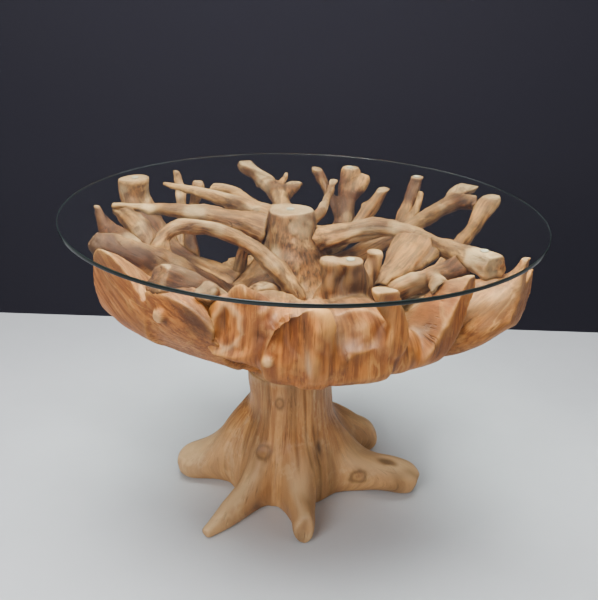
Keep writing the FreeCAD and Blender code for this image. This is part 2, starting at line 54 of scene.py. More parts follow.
# how the skins are made, in metres
COARSE_CELL = 0.0060
SKIN_CELL = 0.0042
SEAM_REACH = 0.026
OVERLAP = 0.0007
STATION = 0.035
CELL_STEP = 0.86
SIDEWAYS = (0.31, 0.52, 0.80)
ARRIS_STEPS = 3
EASE_SHARES = (0.5, -0.53)

# raised tops: where the lift begins and how far out it grows, and how far down it reaches and fades
LIFT_INNER = 0.32
LIFT_RUN = 0.12
LIFT_BAND = 0.12
LIFT_FADE = 0.10

# seams: skins that look at each other more squarely than this show none, and how fast a crease fades
FACE_TO_FACE = -0.55
CREASE_FADE = 0.005

# bands that the carving eases over: off the middle, above the floor or under the sawn tips
SANDED_RIM = (0.40, 0.455)
UNDERSIDE_OUT = (0.10, 0.20)
UNDERSIDE_LEVEL = (0.68, 0.62)
PALE_FEET = (0.21, 0.09)
FLOOR_BAND = (0.001, 0.010)
SAWN_BAND = (TIP_LEVEL - 0.0012, TIP_LEVEL - 0.008)
CUT_BAND = (0.0035, 0.0008)

# faces of the pane and the pads: how level a flat one is, and how upright an edge
FLAT = 0.999
UPRIGHT = 0.05

# carving: waves to a metre across and along the grain, or in every direction
FLUTES = np.array([34.0, 34.0, 3.2])
FURROWS = np.array([52.0, 52.0, 2.4])
FURROW_PATCHES = 11.0
LUMPS = 17.0
GNARLS = 46.0
GNARL_HEIGHT = 0.0022
MARK_EDGES = 55.0
OLD_PATCHES = 12.0
PALE_PATCHES = 15.0


def linear(red: float, green: float, blue: float) -> Colour:
    """Turns a colour as seen on a screen into light values.

    Args:
        red, green, blue: screen values from 0 to 255.

    Returns:
        The colour as four light values, opaque.
    """
    parts = []
    for value in (red, green, blue):
        share = value / 255.0
        parts.append(share / 12.92 if share <= 0.04045 else ((share + 0.055) / 1.055) ** 2.4)
    return (parts[0], parts[1], parts[2], 1.0)


SAWN_PALE = linear(214, 176, 124)
SAWN_DEEP = linear(150, 104, 62)
SAWN_GREY = linear(172, 132, 90)
# cream of bleached patches and pale dust, also used for painted highlights
CREAM_AND_HIGHLIGHT = linear(226, 192, 144)
OLD_WOOD = linear(134, 114, 96)
# dark brown of stains and seam lines, also used for painted shade
STAIN_AND_SHADE = linear(62, 36, 18)
CREASE_SHADE = linear(62, 40, 24)


def smoothstep(low: float, high: float, value: np.ndarray) -> np.ndarray:
    """Eases from 0 at low to 1 at high."""
    share = np.clip((value - low) / (high - low), 0.0, 1.0)
    return share * share * (3.0 - 2.0 * share)


def value_noise(points: np.ndarray, seed: int) -> np.ndarray:
    """Smooth noise on a unit lattice.

    Args:
        points: rows of three coordinates.
        seed: picks one of many patterns.

    Returns:
        One value from -1 to 1 for each row.
    """
    cell = np.floor(points).astype(np.int64)
    part = points - cell
    ease = part * part * (3.0 - 2.0 * part)
    total = np.zeros(len(points))
    for corner in range(8):
        bits = np.array([(corner >> axis) & 1 for axis in range(3)])
        mixed = (cell + bits) @ np.array([73856093, 19349663, 83492791]) + seed * 2654435761
        mixed = (mixed ^ (mixed >> 13)) * 1274126177
        mixed = (mixed ^ (mixed >> 16)) & 0xFFFF
        total += np.prod(np.where(bits, ease, 1.0 - ease), axis=1) * mixed / 65535.0
    return 2.0 * total - 1.0


def layered_noise(points: np.ndarray, seed: int, layers: int = 3) -> np.ndarray:
    """Noise with finer and fainter layers on top of each other.

    Args:
        points: rows of three coordinates, one unit to a lump.
        seed: picks one of many patterns.
        layers: how many layers, each half the size of the one before.

    Returns:
        One value from about -1 to 1 for each row.
    """
    total = np.zeros(len(points))
    for layer in range(layers):
        total += value_noise(points * 2.0**layer, seed + layer) * 0.5**layer
    return total / (2.0 - 0.5 ** (layers - 1)) * 1.4


class Start(Enum):
    """Where the grain of a piece begins."""

    TIP = "tip"
    TOP = "top"
    FOOT = "foot"


class MarkKind(Enum):
    """What the wood shows at one place."""

    KNOT = "knot"
    HOLLOW = "hollow"
    PALE = "pale"
    DARK = "dark"
    CREAM = "cream"
    PEG = "peg"
    SCOOP = "scoop"
    RIDGE = "ridge"
    FACE = "face"
    RING = "ring"


@dataclass(frozen=True)
class Mark:
    """A knot, hollow, stain or sawn face at one place of a piece.

    The depth is how far it rises or sinks, or how strong a dark stain or painted shade is. A face looks along
    its direction. Some dark marks are painted shade and some pale ones painted highlights.
    """

    kind: MarkKind
    centre: Spot
    radius: float
    depth: float = 0.0
    along: Spot = (0.0, 0.0, 1.0)
    stretch: float = 1.0

    def spread(self, places: np.ndarray) -> np.ndarray:
        """Distance of each place from the mark's centre, 1 at its edge.

        Args:
            places: rows of three coordinates.

        Returns:
            One distance for each row, shorter along the mark's long direction.
        """
        away = places - np.array(self.centre)
        line = np.array(self.along) / np.linalg.norm(self.along)
        run = away @ line
        across = away - run[:, None] * line
        return np.sqrt((across**2).sum(1) + (run / self.stretch) ** 2) / self.radius

    def look(self, spread: np.ndarray) -> tuple[np.ndarray, np.ndarray, np.ndarray]:
        """What the mark does to the wood around it.

        Args:
            spread: distance of each place from the mark's centre.

        Returns:
            The rise, the dark share and the cream share at each place.
        """

        def bell(width: float = 1.0, power: int = 2, middle: float = 0.0) -> np.ndarray:
            """A hump that is 1 in the middle and fades with its width."""
            return np.exp(-(((spread - middle) / width) ** power))

        rise = dark = cream = np.zeros_like(spread)
        if self.kind is MarkKind.KNOT:
            rise = self.depth * (bell(1.3) - 1.3 * bell(0.6))
            dark = np.maximum(0.65 * bell(0.30, middle=0.7), 0.30 * bell(0.5))
        elif self.kind is MarkKind.HOLLOW:
            rise = -self.depth * bell(power=4)
            dark = 0.75 * bell(0.9, 4)
        elif self.kind is MarkKind.PEG:
            rise = self.depth * bell(power=6)
            cream = 0.4 * bell(0.8, 4)
        elif self.kind is MarkKind.RING:
            rise = self.depth * bell(0.16, middle=1.0)
            dark = 0.30 * bell(0.16, middle=0.68)
            cream = 0.30 * bell(0.16, middle=1.0)
        elif self.kind is MarkKind.SCOOP:
            rise = -self.depth * bell()
        elif self.kind is MarkKind.RIDGE:
            rise = self.depth * bell()
        elif self.kind is MarkKind.DARK:
            dark = self.depth * bell()
        elif self.kind is MarkKind.CREAM:
            cream = 0.6 * bell()
        elif self.kind is MarkKind.PALE:
            cream = 0.35 * bell()
        return rise, dark, cream


@dataclass(frozen=True)
class Swell:
    """A rounded mass of wood that has grown over the crease between two roots."""

    centre: Spot
    radii: Spot

    def add(self, bm: bmesh.types.BMesh) -> None:
        """Adds the mass to a mesh that is skinned afterwards."""
        place = Matrix.Translation(Vector(self.centre)) @ Matrix.Diagonal((*self.radii, 1.0))
        bmesh.ops.create_icosphere(bm, subdivisions=3, radius=1.0, matrix=place)


class Bench:
    """A node tree with short calls for its nodes and links."""

    def __init__(self, tree: bpy.types.NodeTree) -> None:
        """Takes the tree that the nodes go in."""
        self.tree = tree

    @classmethod
    def material(cls, name: str) -> tuple["Bench", bpy.types.Material, bpy.types.Node]:
        """Starts a material.

        Args:
            name: the material's name.

        Returns:
            The bench of its node tree, the material and its shader.
        """
        made = bpy.data.materials.new(name)
        made.use_nodes = True
        made.node_tree.nodes.clear()
        bench = cls(made.node_tree)
        return bench, made, bench.add("ShaderNodeBsdfPrincipled")

    def surface(self, shader: bpy.types.Node) -> None:
        """Makes a shader the surface of the material."""
        self.wire(self.add("ShaderNodeOutputMaterial").inputs["Surface"], shader.outputs[0])

    def add(self, kind: str, **settings: object) -> bpy.types.Node:
        """Adds a node.

        Args:
            kind: the node's type name.
            settings: properties of the node and their values.

        Returns:
            The new node.
        """
        node = self.tree.nodes.new(kind)
        for name, value in settings.items():
            setattr(node, name, value)
        return node

    def wire(self, socket: bpy.types.NodeSocket, value: object) -> None:
        """Feeds a socket.

        Args:
            socket: the input.
            value: an output to link it to, or a plain value to keep.
        """
        if isinstance(value, bpy.types.NodeSocket):
            self.tree.links.new(value, socket)
        else:
            socket.default_value = value

    def maths(self, operation: str, first: object, second: object = 0.0,
              third: object = None) -> bpy.types.NodeSocket:
        """One step of arithmetic.

        Args:
            operation: what is worked out.
            first, second, third: sockets or plain values.

        Returns:
            The result's socket.
        """
        node = self.add("ShaderNodeMath", operation=operation)
        for socket, value in zip(node.inputs, (first, second, third)):
            if value is not None:
                self.wire(socket, value)
        return node.outputs[0]

    def ease(self, value: object, low: float, high: float, top: float = 1.0) -> bpy.types.NodeSocket:
        """Eases a value from 0 at low to top at high.

        Args:
            value: the socket that is eased.
            low, high: where the easing begins and ends.
            top: the result at high.

        Returns:
            The result's socket.
        """
        node = self.add("ShaderNodeMapRange", interpolation_type="SMOOTHSTEP")
        for name, given in (("Value", value), ("From Min", low), ("From Max", high), ("To Max", top)):
            self.wire(node.inputs[name], given)
        return node.outputs["Result"]

    def blend(self, share: object, low: object, high: object, how: str = "MIX") -> bpy.types.NodeSocket:
        """Mixes two colours.

        Args:
            share: how much of the second colour there is.
            low, high: the two colours.
            how: the way they mix.

        Returns:
            The mixed colour's socket.
        """
        node = self.add("ShaderNodeMix", data_type="RGBA", blend_type=how)
        for number, given in ((0, share), (6, low), (7, high)):
            self.wire(node.inputs[number], given)
        return node.outputs[2]

    def noise(self, place: object, scale: float, detail: float = 3.0,
              rough: float = 0.55) -> bpy.types.NodeSocket:
        """A noise pattern.

        Args:
            place: where it is read.
            scale: lumps to a metre.
            detail: how many finer layers there are.
            rough: how strong the finer layers are.

        Returns:
            The pattern's socket.
        """
        node = self.add("ShaderNodeTexNoise")
        for name, given in (("Vector", place), ("Scale", scale), ("Detail", detail), ("Roughness", rough)):
            self.wire(node.inputs[name], given)
        return node.outputs["Fac"]

    def stretched(self, place: object, factor: Spot) -> bpy.types.NodeSocket:
        """Multiplies each coordinate of a place.

        Args:
            place: the place's socket.
            factor: one factor for each coordinate.

        Returns:
            The stretched place's socket.
        """
        node = self.add("ShaderNodeVectorMath", operation="MULTIPLY")
        self.wire(node.inputs[0], place)
        self.wire(node.inputs[1], factor)
        return node.outputs[0]

    def place(self) -> bpy.types.NodeSocket:
        """The place on the piece, in metres."""
        return self.add("ShaderNodeTexCoord").outputs["Object"]

    def field(self, name: str) -> bpy.types.NodeSocket:
        """The vector that a piece carries under a name."""
        return self.add("ShaderNodeAttribute", attribute_name=name).outputs["Vector"]

    def split(self, vector: object) -> list[bpy.types.NodeSocket]:
        """The three coordinates of a vector.

        Args:
            vector: the vector's socket.

        Returns:
            Their sockets.
        """
        node = self.add("ShaderNodeSeparateXYZ")
        self.wire(node.inputs[0], vector)
        return list(node.outputs)


def figure_group() -> bpy.types.NodeTree:
    """Teak figure along the grain, shared by all the wood.

    Returns:
        A group that takes the grain place and puts out the parts of the figure and a height.
    """
    tree = bpy.data.node_groups.new("teak_figure", "ShaderNodeTree")
    tree.interface.new_socket("Grain", in_out="INPUT", socket_type="NodeSocketVector")
    names = ("Streak", "Band", "Fleck", "Ring", "Blotch", "Mottle", "Vein", "Crack", "Height")
    for name in names:
        tree.interface.new_socket(name, in_out="OUTPUT", socket_type="NodeSocketFloat")
    bench = Bench(tree)
    taken = bench.add("NodeGroupInput")
    given = bench.add("NodeGroupOutput")
    grain = taken.outputs["Grain"]

    def drawn(length: float) -> bpy.types.NodeSocket:
        """The grain place with patterns drawn out along the grain."""
        return bench.stretched(grain, (1.0, 1.0, length))

    def thin_line(pattern: object, wide: float, sharp: float) -> bpy.types.NodeSocket:
        """A thin line where a pattern passes through its middle."""
        return bench.ease(bench.maths("ABSOLUTE", bench.maths("SUBTRACT", pattern, 0.5)), wide, sharp)

    wander = bench.noise(drawn(0.35), 9.0, 2.0)
    streak = bench.noise(drawn(0.055), 120.0, 6.0, 0.70)
    band = bench.noise(drawn(0.055), 26.0, 3.0, 0.5)
    pore = bench.noise(drawn(0.030), 620.0, 2.0, 0.5)
    porous = bench.ease(bench.noise(grain, 22.0, 2.0), 0.38, 0.62)
    fleck = bench.maths("MULTIPLY", bench.ease(pore, 0.60, 0.70), porous)
    radius = bench.add("ShaderNodeVectorMath", operation="LENGTH")
    bench.wire(radius.inputs[0], drawn(0.0))
    turns = bench.maths("MULTIPLY_ADD", radius.outputs["Value"], 900.0, bench.maths("MULTIPLY", wander, 16.0))
    ring = bench.maths("MULTIPLY_ADD", bench.maths("SINE", turns), 0.5, 0.5)
    blotch = bench.noise(drawn(0.30), 7.0, 4.0, 0.6)
    mottle = bench.noise(drawn(0.45), 34.0, 6.0, 0.68)
    line = thin_line(bench.noise(drawn(0.16), 19.0, 4.0, 0.55), 0.022, 0.004)
    vein = bench.maths("MULTIPLY", line, bench.ease(blotch, 0.46, 0.60))
    split = thin_line(bench.noise(drawn(0.03), 44.0, 2.0, 0.4), 0.014, 0.003)
    crack = bench.maths("MULTIPLY", split, bench.ease(mottle, 0.50, 0.58))
    sunk = bench.maths("MULTIPLY", bench.maths("MAXIMUM", fleck, crack), 0.9)
    height = bench.maths("SUBTRACT", streak, sunk)
    for name, value in zip(names, (streak, band, fleck, ring, blotch, mottle, vein, crack, height)):
        bench.wire(given.inputs[name], value)
    return tree


@dataclass(frozen=True)
class Tones:
    """Colours of one state of the wood."""

    light: Colour
    deep: Colour
    pale: Colour
    grey: Colour
    grey_share: float
    fleck: Colour = linear(78, 44, 20)


SANDED = Tones(linear(194, 116, 44), linear(118, 60, 19), linear(214, 154, 82), linear(142, 94, 50), 0.40)
WEATHERED = Tones(linear(190, 122, 56), linear(64, 33, 13), linear(226, 172, 102), linear(120, 86, 54), 0.55)
GOLDEN = Tones(linear(206, 146, 80), linear(158, 100, 50), linear(226, 188, 136), linear(158, 126, 92), 0.50)


@dataclass(frozen=True)
class TeakFinish:
    """A finish of the root wood: an outer sanded state over an inner raw one."""

    name: str
    outer: Tones
    inner: Tones
    gloss: float
    relief: float
    cracks: float

    def skin(self, bench: Bench, tones: Tones, figure: bpy.types.Node, wear_and_top_light: object) -> bpy.types.NodeSocket:
        """Colour of one state of the wood.

        Args:
            bench: the material's node tree.
            tones: the colours of that state.
            figure: the placed figure group.
            wear_and_top_light: how worn the place is, with painted top light on up-facing raw wood, from 0 to
                1.

        Returns:
            The colour's socket.
        """
        out = figure.outputs
        layers = (
            (bench.ease(out["Band"], 0.46, 0.68, 0.62), tones.deep),
            (bench.ease(out["Blotch"], 0.44, 0.64, tones.grey_share), tones.grey),
            (bench.maths("MULTIPLY", out["Ring"], 0.16), tones.deep),
            (bench.ease(out["Mottle"], 0.50, 0.66, 0.42), tones.deep),
            (bench.ease(out["Mottle"], 0.46, 0.34, 0.28), tones.pale),
            (bench.maths("MULTIPLY", out["Vein"], 0.40), tones.pale),
            # wear and painted top light make the wood paler
            (bench.maths("MULTIPLY", wear_and_top_light, 0.62), tones.pale),
            (bench.maths("MULTIPLY", out["Crack"], self.cracks), tones.fleck),
            (bench.maths("MULTIPLY", out["Fleck"], 0.70), tones.fleck),
        )
        wood = bench.blend(bench.ease(out["Streak"], 0.38, 0.62), tones.deep, tones.light)
        for share, colour in layers:
            wood = bench.blend(share, wood, colour)
        return wood

    def material(self, group: bpy.types.NodeTree) -> bpy.types.Material:
        """Builds the material.

        Args:
            group: the shared figure group.

        Returns:
            The new material.
        """
        bench, made, shader = Bench.material(self.name)
        figure = bench.add("ShaderNodeGroup", node_tree=group)
        bench.wire(figure.inputs["Grain"], bench.field("grain"))
        wear_and_top_light, crease, cut = bench.split(bench.field("form"))
        sanded, dark, cream = bench.split(bench.field("tone"))
        age = bench.split(bench.field("age"))[0]
        end = bench.blend(bench.maths("MULTIPLY", figure.outputs["Ring"], 0.6), SAWN_PALE, SAWN_DEEP)
        end = bench.blend(bench.ease(figure.outputs["Blotch"], 0.45, 0.70, 0.5), end, SAWN_GREY)
        raw = self.skin(bench, self.inner, figure, wear_and_top_light)
        wood = bench.blend(sanded, raw, self.skin(bench, self.outer, figure, wear_and_top_light))
        for share, colour, how in (
                (bench.maths("MULTIPLY", cut, 0.8), end, "MIX"),
                # the cream share: bleached patches and pale dust, and painted highlights
                (bench.maths("MULTIPLY", cream, 0.8), CREAM_AND_HIGHLIGHT, "MIX"),
                (age, OLD_WOOD, "MULTIPLY"),
                # the dark share: stains, seam lines and darker furrows, and painted shade on undersides and
                # in recesses
                (bench.maths("MULTIPLY", dark, 0.95), STAIN_AND_SHADE, "MIX"),
                (bench.maths("MULTIPLY", crease, 0.72), CREASE_SHADE, "MIX")):
            wood = bench.blend(share, wood, colour, how)
        lustre = bench.ease(figure.outputs["Streak"], 0.2, 0.9, -0.16)
        bump = bench.add("ShaderNodeBump")
        bench.wire(bump.inputs["Strength"], 0.75)
        bench.wire(bump.inputs["Distance"], self.relief)
        bench.wire(bump.inputs["Height"], figure.outputs["Height"])
        bench.wire(shader.inputs["Base Color"], wood)
        bench.wire(shader.inputs["Roughness"], bench.maths("ADD", lustre, self.gloss + 0.08))
        bench.wire(shader.inputs["Normal"], bump.outputs["Normal"])
        bench.wire(shader.inputs["Specular IOR Level"], 0.35)
        bench.surface(shader)
        return made


RIM = TeakFinish("sanded_rim_teak", SANDED, WEATHERED, 0.56, 0.0016, 0.45)
LIMB = TeakFinish("weathered_limb_teak", SANDED, WEATHERED, 0.62, 0.0034, 0.85)
PEDESTAL = TeakFinish("golden_pedestal_teak", GOLDEN, WEATHERED, 0.46, 0.0016, 0.25)


@dataclass
class Skin:
    """The mesh of a piece as arrays."""

    mesh: bpy.types.Mesh
    places: np.ndarray = field(init=False)
    links: np.ndarray = field(init=False)

    def __post_init__(self) -> None:
        """Reads the places and the edges of the mesh."""
        flat = np.empty(len(self.mesh.vertices) * 3, np.float32)
        self.mesh.vertices.foreach_get("co", flat)
        self.places = flat.reshape(-1, 3).astype(float)
        pairs = np.empty(len(self.mesh.edges) * 2, np.int32)
        self.mesh.edges.foreach_get("vertices", pairs)
        self.links = pairs.reshape(-1, 2)

    def store(self) -> None:
        """Writes the places back to the mesh."""
        self.mesh.vertices.foreach_set("co", self.places.astype(np.float32).ravel())
        self.mesh.update()

    def normals(self) -> np.ndarray:
        """The direction that each place of the skin faces.

        Returns:
            Rows of three coordinates, one for each place.
        """
        self.store()
        flat = np.empty(len(self.places) * 3, np.float32)
        self.mesh.vertex_normals.foreach_get("vector", flat)
        return flat.reshape(-1, 3).astype(float)

    def averaged(self, values: np.ndarray, rounds: int = 1) -> np.ndarray:
        """Each value becomes the mean of its neighbours' values.

        Args:
            values: rows, one for each place.
            rounds: how often that is done.

        Returns:
            The evened rows.
        """
        count = len(self.places)
        here, there = self.links.ravel(), self.links[:, ::-1].ravel()
        degree = np.maximum(np.bincount(here, minlength=count), 1)
        rows = values.reshape(count, -1).astype(float)
        for _ in range(rounds):
            sums = [np.bincount(here, weights=column[there], minlength=count) for column in rows.T]
            rows = np.stack(sums, 1) / degree[:, None]
        return rows.reshape(values.shape)

    def eased(self, rounds: int) -> None:
        """Takes the steps of the voxels out of the skin without shrinking it.

        Args:
            rounds: how often the skin is drawn in and let out again.
        """
        for _ in range(rounds):
            for share in EASE_SHARES:
                self.places = self.places + share * (self.averaged(self.places) - self.places)

    def filled(self, rounds: int, below: float) -> None:
        """Fills the creases with wood and leaves what stands out as it is.

        Args:
            rounds: how often the creases are raised to the mean of their neighbours.
            below: height above which the creases stay open.
        """
        share = 0.9 * smoothstep(below + 0.05, below, self.places[:, 2])
        for step in range(rounds):
            if step % 6 == 0:
                normals = self.normals()
            lift = ((self.averaged(self.places) - self.places) * normals).sum(1)
            self.places = self.places + normals * (share * np.maximum(lift, 0.0))[:, None]

    def rings(self, first: np.ndarray) -> np.ndarray:
        """How many steps along the edges each place lies from the first ones.

        Args:
            first: row numbers to start from.

        Returns:
            The number of steps for each place.
        """
        count = len(self.places)
        ends = np.concatenate([self.links, self.links[:, ::-1]])
        ends = ends[np.argsort(ends[:, 0], kind="stable")]
        begin = np.searchsorted(ends[:, 0], np.arange(count + 1))
        level = np.full(count, -1)
        level[first] = 0
        ring = np.asarray(first)
        step = 0
        while len(ring):
            step += 1
            wide = begin[ring + 1] - begin[ring]
            offset = np.repeat(begin[ring] - np.cumsum(wide) + wide, wide)
            reached = np.unique(ends[offset + np.arange(wide.sum()), 1])
            ring = reached[level[reached] < 0]
            level[ring] = step
        return np.maximum(level, 0)

    def keep(self, name: str, rows: np.ndarray) -> None:
        """Stores rows of three values under a name that a material can read."""
        made = self.mesh.attributes.new(name, "FLOAT_VECTOR", "POINT")
        made.data.foreach_set("vector", rows.astype(np.float32).ravel())


@dataclass
class RootPiece:
    """One root, or several that have grown together, carved from their solids."""

    name: str
    nodes: tuple[str, ...]
    finish: TeakFinish = LIMB
    slot: str = "root"
    flute: float = 0.0030
    furrow: float = 0.0034
    lump: float = 0.0040
    fillet: float = 0.024
    fill: int = 8
    fill_below: float = 0.8
    soften: int = 0
    lifts: tuple[tuple[str, float], ...] = ()
    swells: tuple[Swell, ...] = ()
    start: Start = Start.TIP
    age: float = 0.3
    knots: int = 0
    lie: Spot | None = None
    spread: float = KING_RADIUS
    marks: tuple[Mark, ...] = ()
    seed: int = 0
    cell: float = SKIN_CELL
    skin: Skin = field(init=False)
    tree: BVHTree = field(init=False)
    grain: np.ndarray = field(init=False)

    def raised(self, bm: bmesh.types.BMesh, node: str) -> None:
        """Raises the top of a root's outer end.

        Args:
            bm: the copy of the root's solid.
            node: the root's name.
        """
        for lift in (step for name, step in self.lifts if name == node):
            top = max(vert.co.z for vert in bm.verts)
            for vert in bm.verts:
                out = min(max((math.hypot(vert.co.x, vert.co.y) - LIFT_INNER) / LIFT_RUN, 0.0), 1.0)
                vert.co.z += lift * out * min(max((vert.co.z - top + LIFT_BAND) / LIFT_FADE, 0.0), 1.0)

    def joined(self) -> bpy.types.Mesh:
        """Puts merged copies of the solids and the swells in one mesh.

        Returns:
            The new mesh.
        """
        solid = bpy.data.meshes.new(self.name + "_solid")
        whole = bmesh.new()
        for node in self.nodes:
            bm = bmesh.new()
            bm.from_mesh(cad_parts[node].data)
            bmesh.ops.remove_doubles(bm, verts=bm.verts, dist=1e-6)
            self.raised(bm, node)
            if len(self.nodes) > 1:
                bm.normal_update()
                for vert in bm.verts:
                    vert.co += vert.normal * OVERLAP
            bm.to_mesh(solid)
            bm.free()
            whole.from_mesh(solid)
        for swell in self.swells:
            swell.add(whole)
        whole.to_mesh(solid)
        whole.free()
        return solid

    def grow(self) -> None:
        """Makes an even skin over the joined solids and fills its creases."""
        solid = self.joined()
        carrier = bpy.data.objects.new(self.name + "_carrier", solid)
        bpy.context.scene.collection.objects.link(carrier)
        cells = carrier.modifiers.new("cells", "REMESH")
        cells.mode = "VOXEL"
        cells.voxel_size = self.cell
        ready = carrier.evaluated_get(bpy.context.evaluated_depsgraph_get())
        mesh = bpy.data.meshes.new_from_object(ready)
        mesh.name = self.name
        bpy.data.objects.remove(carrier)
        bpy.data.meshes.remove(solid)
        finer = (COARSE_CELL / self.cell) ** 2
        self.skin = Skin(mesh)
        self.skin.eased(3)
        self.skin.filled(round(self.fill * finer), self.fill_below)
        if self.soften:
            self.skin.places = self.skin.averaged(self.skin.places, round(self.soften * finer))
        self.skin.eased(2)
        self.skin.store()
        bm = bmesh.new()
        bm.from_mesh(mesh)
        self.tree = BVHTree.FromBMesh(bm)
        bm.free()

    def follow(self) -> None:
        """Lays the grain along the piece: two coordinates across it and one along it."""
        skin = self.skin
        places = skin.places
        if self.lie is not None:
            line = np.array(self.lie) / np.linalg.norm(self.lie)
            side = np.cross(line, SIDEWAYS)
            side /= np.linalg.norm(side)
            away = places - places.mean(0)
            self.grain = np.stack([away @ side, away @ np.cross(line, side), away @ line], 1)
            return
        if self.start is Start.TIP:
            far = skin.rings(np.array([int(np.argmax(places[:, 2]))]))
            first = np.flatnonzero(far >= far.max() - 2)
        elif self.start is Start.TOP:
            first = np.flatnonzero(places[:, 2] > places[:, 2].max() - 0.01)
        else:
            first = np.flatnonzero(places[:, 2] < places[:, 2].min() + 0.01)
        run = skin.averaged(skin.rings(first).astype(float), 24) * self.cell * CELL_STEP
        if self.start is Start.TIP:
            self.grain = self.along_middle(run)
            return
        turn = places[:, :2] - CROWN_AXIS
        out = np.maximum(np.linalg.norm(turn, axis=1), 1e-6)
        hold = np.minimum(out, KING_RADIUS) + (self.spread - KING_RADIUS) * smoothstep(KING_RADIUS, 0.22, out)
        turn = turn * (hold / out)[:, None]
        self.grain = np.stack([turn[:, 0], turn[:, 1], run], 1)

    def along_middle(self, run: np.ndarray) -> np.ndarray:
        """Lays the grain along the bent middle line of a limb.

        Args:
            run: how far along the limb each place lies.

        Returns:
            Two coordinates across the limb and one along it, for each place.
        """
        places = self.skin.places
        bins = max(4, int(run.max() / STATION))
        edge = np.linspace(0.0, run.max() + 1e-6, bins + 1)
        which = np.digitize(run, edge) - 1
        weight = np.maximum(np.bincount(which, minlength=bins), 1)
        sums = [np.bincount(which, weights=places[:, axis], minlength=bins) for axis in range(3)]
        centre = np.stack(sums, 1) / weight[:, None]
        for _ in range(2):
            padded = np.concatenate([centre[:1], centre, centre[-1:]])
            centre = (padded[:-2] + 2.0 * padded[1:-1] + padded[2:]) / 4.0
        middle = (edge[:-1] + edge[1:]) / 2.0
        ahead = np.gradient(centre, axis=0)
        ahead /= np.maximum(np.linalg.norm(ahead, axis=1), 1e-9)[:, None]
        side = np.cross(ahead[0], SIDEWAYS)
        sides = []
        for line in ahead:
            side = side - line * (side @ line)
            side = side / max(np.linalg.norm(side), 1e-9)
            sides.append(side)
        sides = np.array(sides)

        def at(rows: np.ndarray) -> np.ndarray:
            """The rows read off at each place's run."""
            return np.stack([np.interp(run, middle, rows[:, axis]) for axis in range(3)], 1)

        away = places - at(centre)
        across = (away * at(sides)).sum(1), (away * at(np.cross(ahead, sides))).sum(1)
        return np.stack([*across, run], 1)

    def near(self, other: "RootPiece") -> np.ndarray:
        """Finds the places that lie in or beside a cell that another piece passes through.

        Args:
            other: the other piece.

        Returns:
            The row numbers of those places.
        """
        size = np.array([1, 4096, 4096 * 4096])
        taken = np.unique(np.floor(other.skin.places / SEAM_REACH).astype(np.int64) + 1024, axis=0)
        steps = np.array([(x, y, z) for x in (-1, 0, 1) for y in (-1, 0, 1) for z in (-1, 0, 1)])
        around = np.unique((taken[:, None, :] + steps[None]).reshape(-1, 3) @ size)
        own = (np.floor(self.skin.places / SEAM_REACH).astype(np.int64) + 1024) @ size
        return np.flatnonzero(np.isin(own, around))

    def meet(self, others: list["RootPiece"], seamed: set[frozenset[str]]) -> tuple[np.ndarray, np.ndarray]:
        """Finds how near the other pieces come.

        Args:
            others: all the wood pieces.
            seamed: pairs that keep an open seam.

        Returns:
            The move of each place onto the fillets, and how creased it is.
        """
        places = self.skin.places
        normals = self.skin.normals()
        move = np.zeros_like(places)
        crease = np.zeros(len(places))
        low, high = places.min(0) - SEAM_REACH, places.max(0) + SEAM_REACH
        for other in others:
            beyond = (other.skin.places.max(0) < low).any() or (other.skin.places.min(0) > high).any()
            if other is self or beyond:
                continue
            reach = min(self.fillet, other.fillet)
            grown = frozenset((self.name, other.name)) not in seamed
            for row in self.near(other):
                spot, facing, _, gap = other.tree.find_nearest(places[row], SEAM_REACH)
                if spot is None:
                    continue
                facing = np.array(facing)
                turn = normals[row] @ facing
                if turn < FACE_TO_FACE:
                    continue
                crease[row] = max(crease[row], math.exp(-gap / CREASE_FADE) * min(1.0, 1.1 - turn))
                if grown and gap < reach:
                    line = normals[row] + facing
                    size = (reach - gap) ** 2 / (4.0 * reach) * min(1.0, 1.2 - turn)
                    step = line * (size / max(np.linalg.norm(line), 0.3))
                    if step @ step > move[row] @ move[row]:
                        move[row] = step
        return self.skin.averaged(move, 2), self.skin.averaged(crease)

    def grown_marks(self) -> list[Mark]:
        """Spreads knots and bumps over the piece, the same ones at each build.

        Returns:
            The marks.
        """
        places = self.skin.places
        made = []
        for number in range(self.knots):
            row = (self.seed * 7919 + number * 104729) % len(places)
            size = 0.008 + 0.001 * ((self.seed * 5 + number * 3) % 7)
            kind = MarkKind.KNOT if (number + self.seed) % 3 else MarkKind.RIDGE
            depth = 0.0022 if kind is MarkKind.KNOT else 0.0055
            made.append(Mark(kind, tuple(places[row]), size, depth))
        return made

    def flatten(self) -> None:
        """Saws off what stands beyond the flat faces among the marks."""
        for mark in self.marks:
            if mark.kind is MarkKind.FACE:
                facing = np.array(mark.along) / np.linalg.norm(mark.along)
                away = self.skin.places - np.array(mark.centre)
                beyond = np.maximum(away @ facing, 0.0)
                near = smoothstep(mark.radius, 0.6 * mark.radius, np.linalg.norm(away, axis=1))
                self.skin.places = self.skin.places - (beyond * near)[:, None] * facing

    def sanding(self, places: np.ndarray, normals: np.ndarray) -> np.ndarray:
        """How far each place is sanded: the round outline and the underside of the rim.

        Args:
            places: where the skin lies.
            normals: the direction that each place faces.

        Returns:
            A share for each place, from 0 for raw wood to 1 for sanded wood.
        """
        if self.finish is LIMB:
            return np.zeros(len(places))
        if self.finish is PEDESTAL:
            return np.ones(len(places))
        away = places[:, :2] - CROWN_AXIS
        away = away / np.maximum(np.linalg.norm(away, axis=1), 1e-6)[:, None]
        outward = smoothstep(0.05, 0.55, (normals[:, :2] * away).sum(1) - 0.75 * normals[:, 2])
        out = np.linalg.norm(places[:, :2], axis=1)
        under = smoothstep(-0.05, -0.35, normals[:, 2])
        under = under * smoothstep(*UNDERSIDE_OUT, out) * smoothstep(*UNDERSIDE_LEVEL, places[:, 2])
        rim = smoothstep(*SANDED_RIM, out)
        return self.skin.averaged(np.maximum(outward * np.maximum(rim, under), 0.72 * rim), 9)

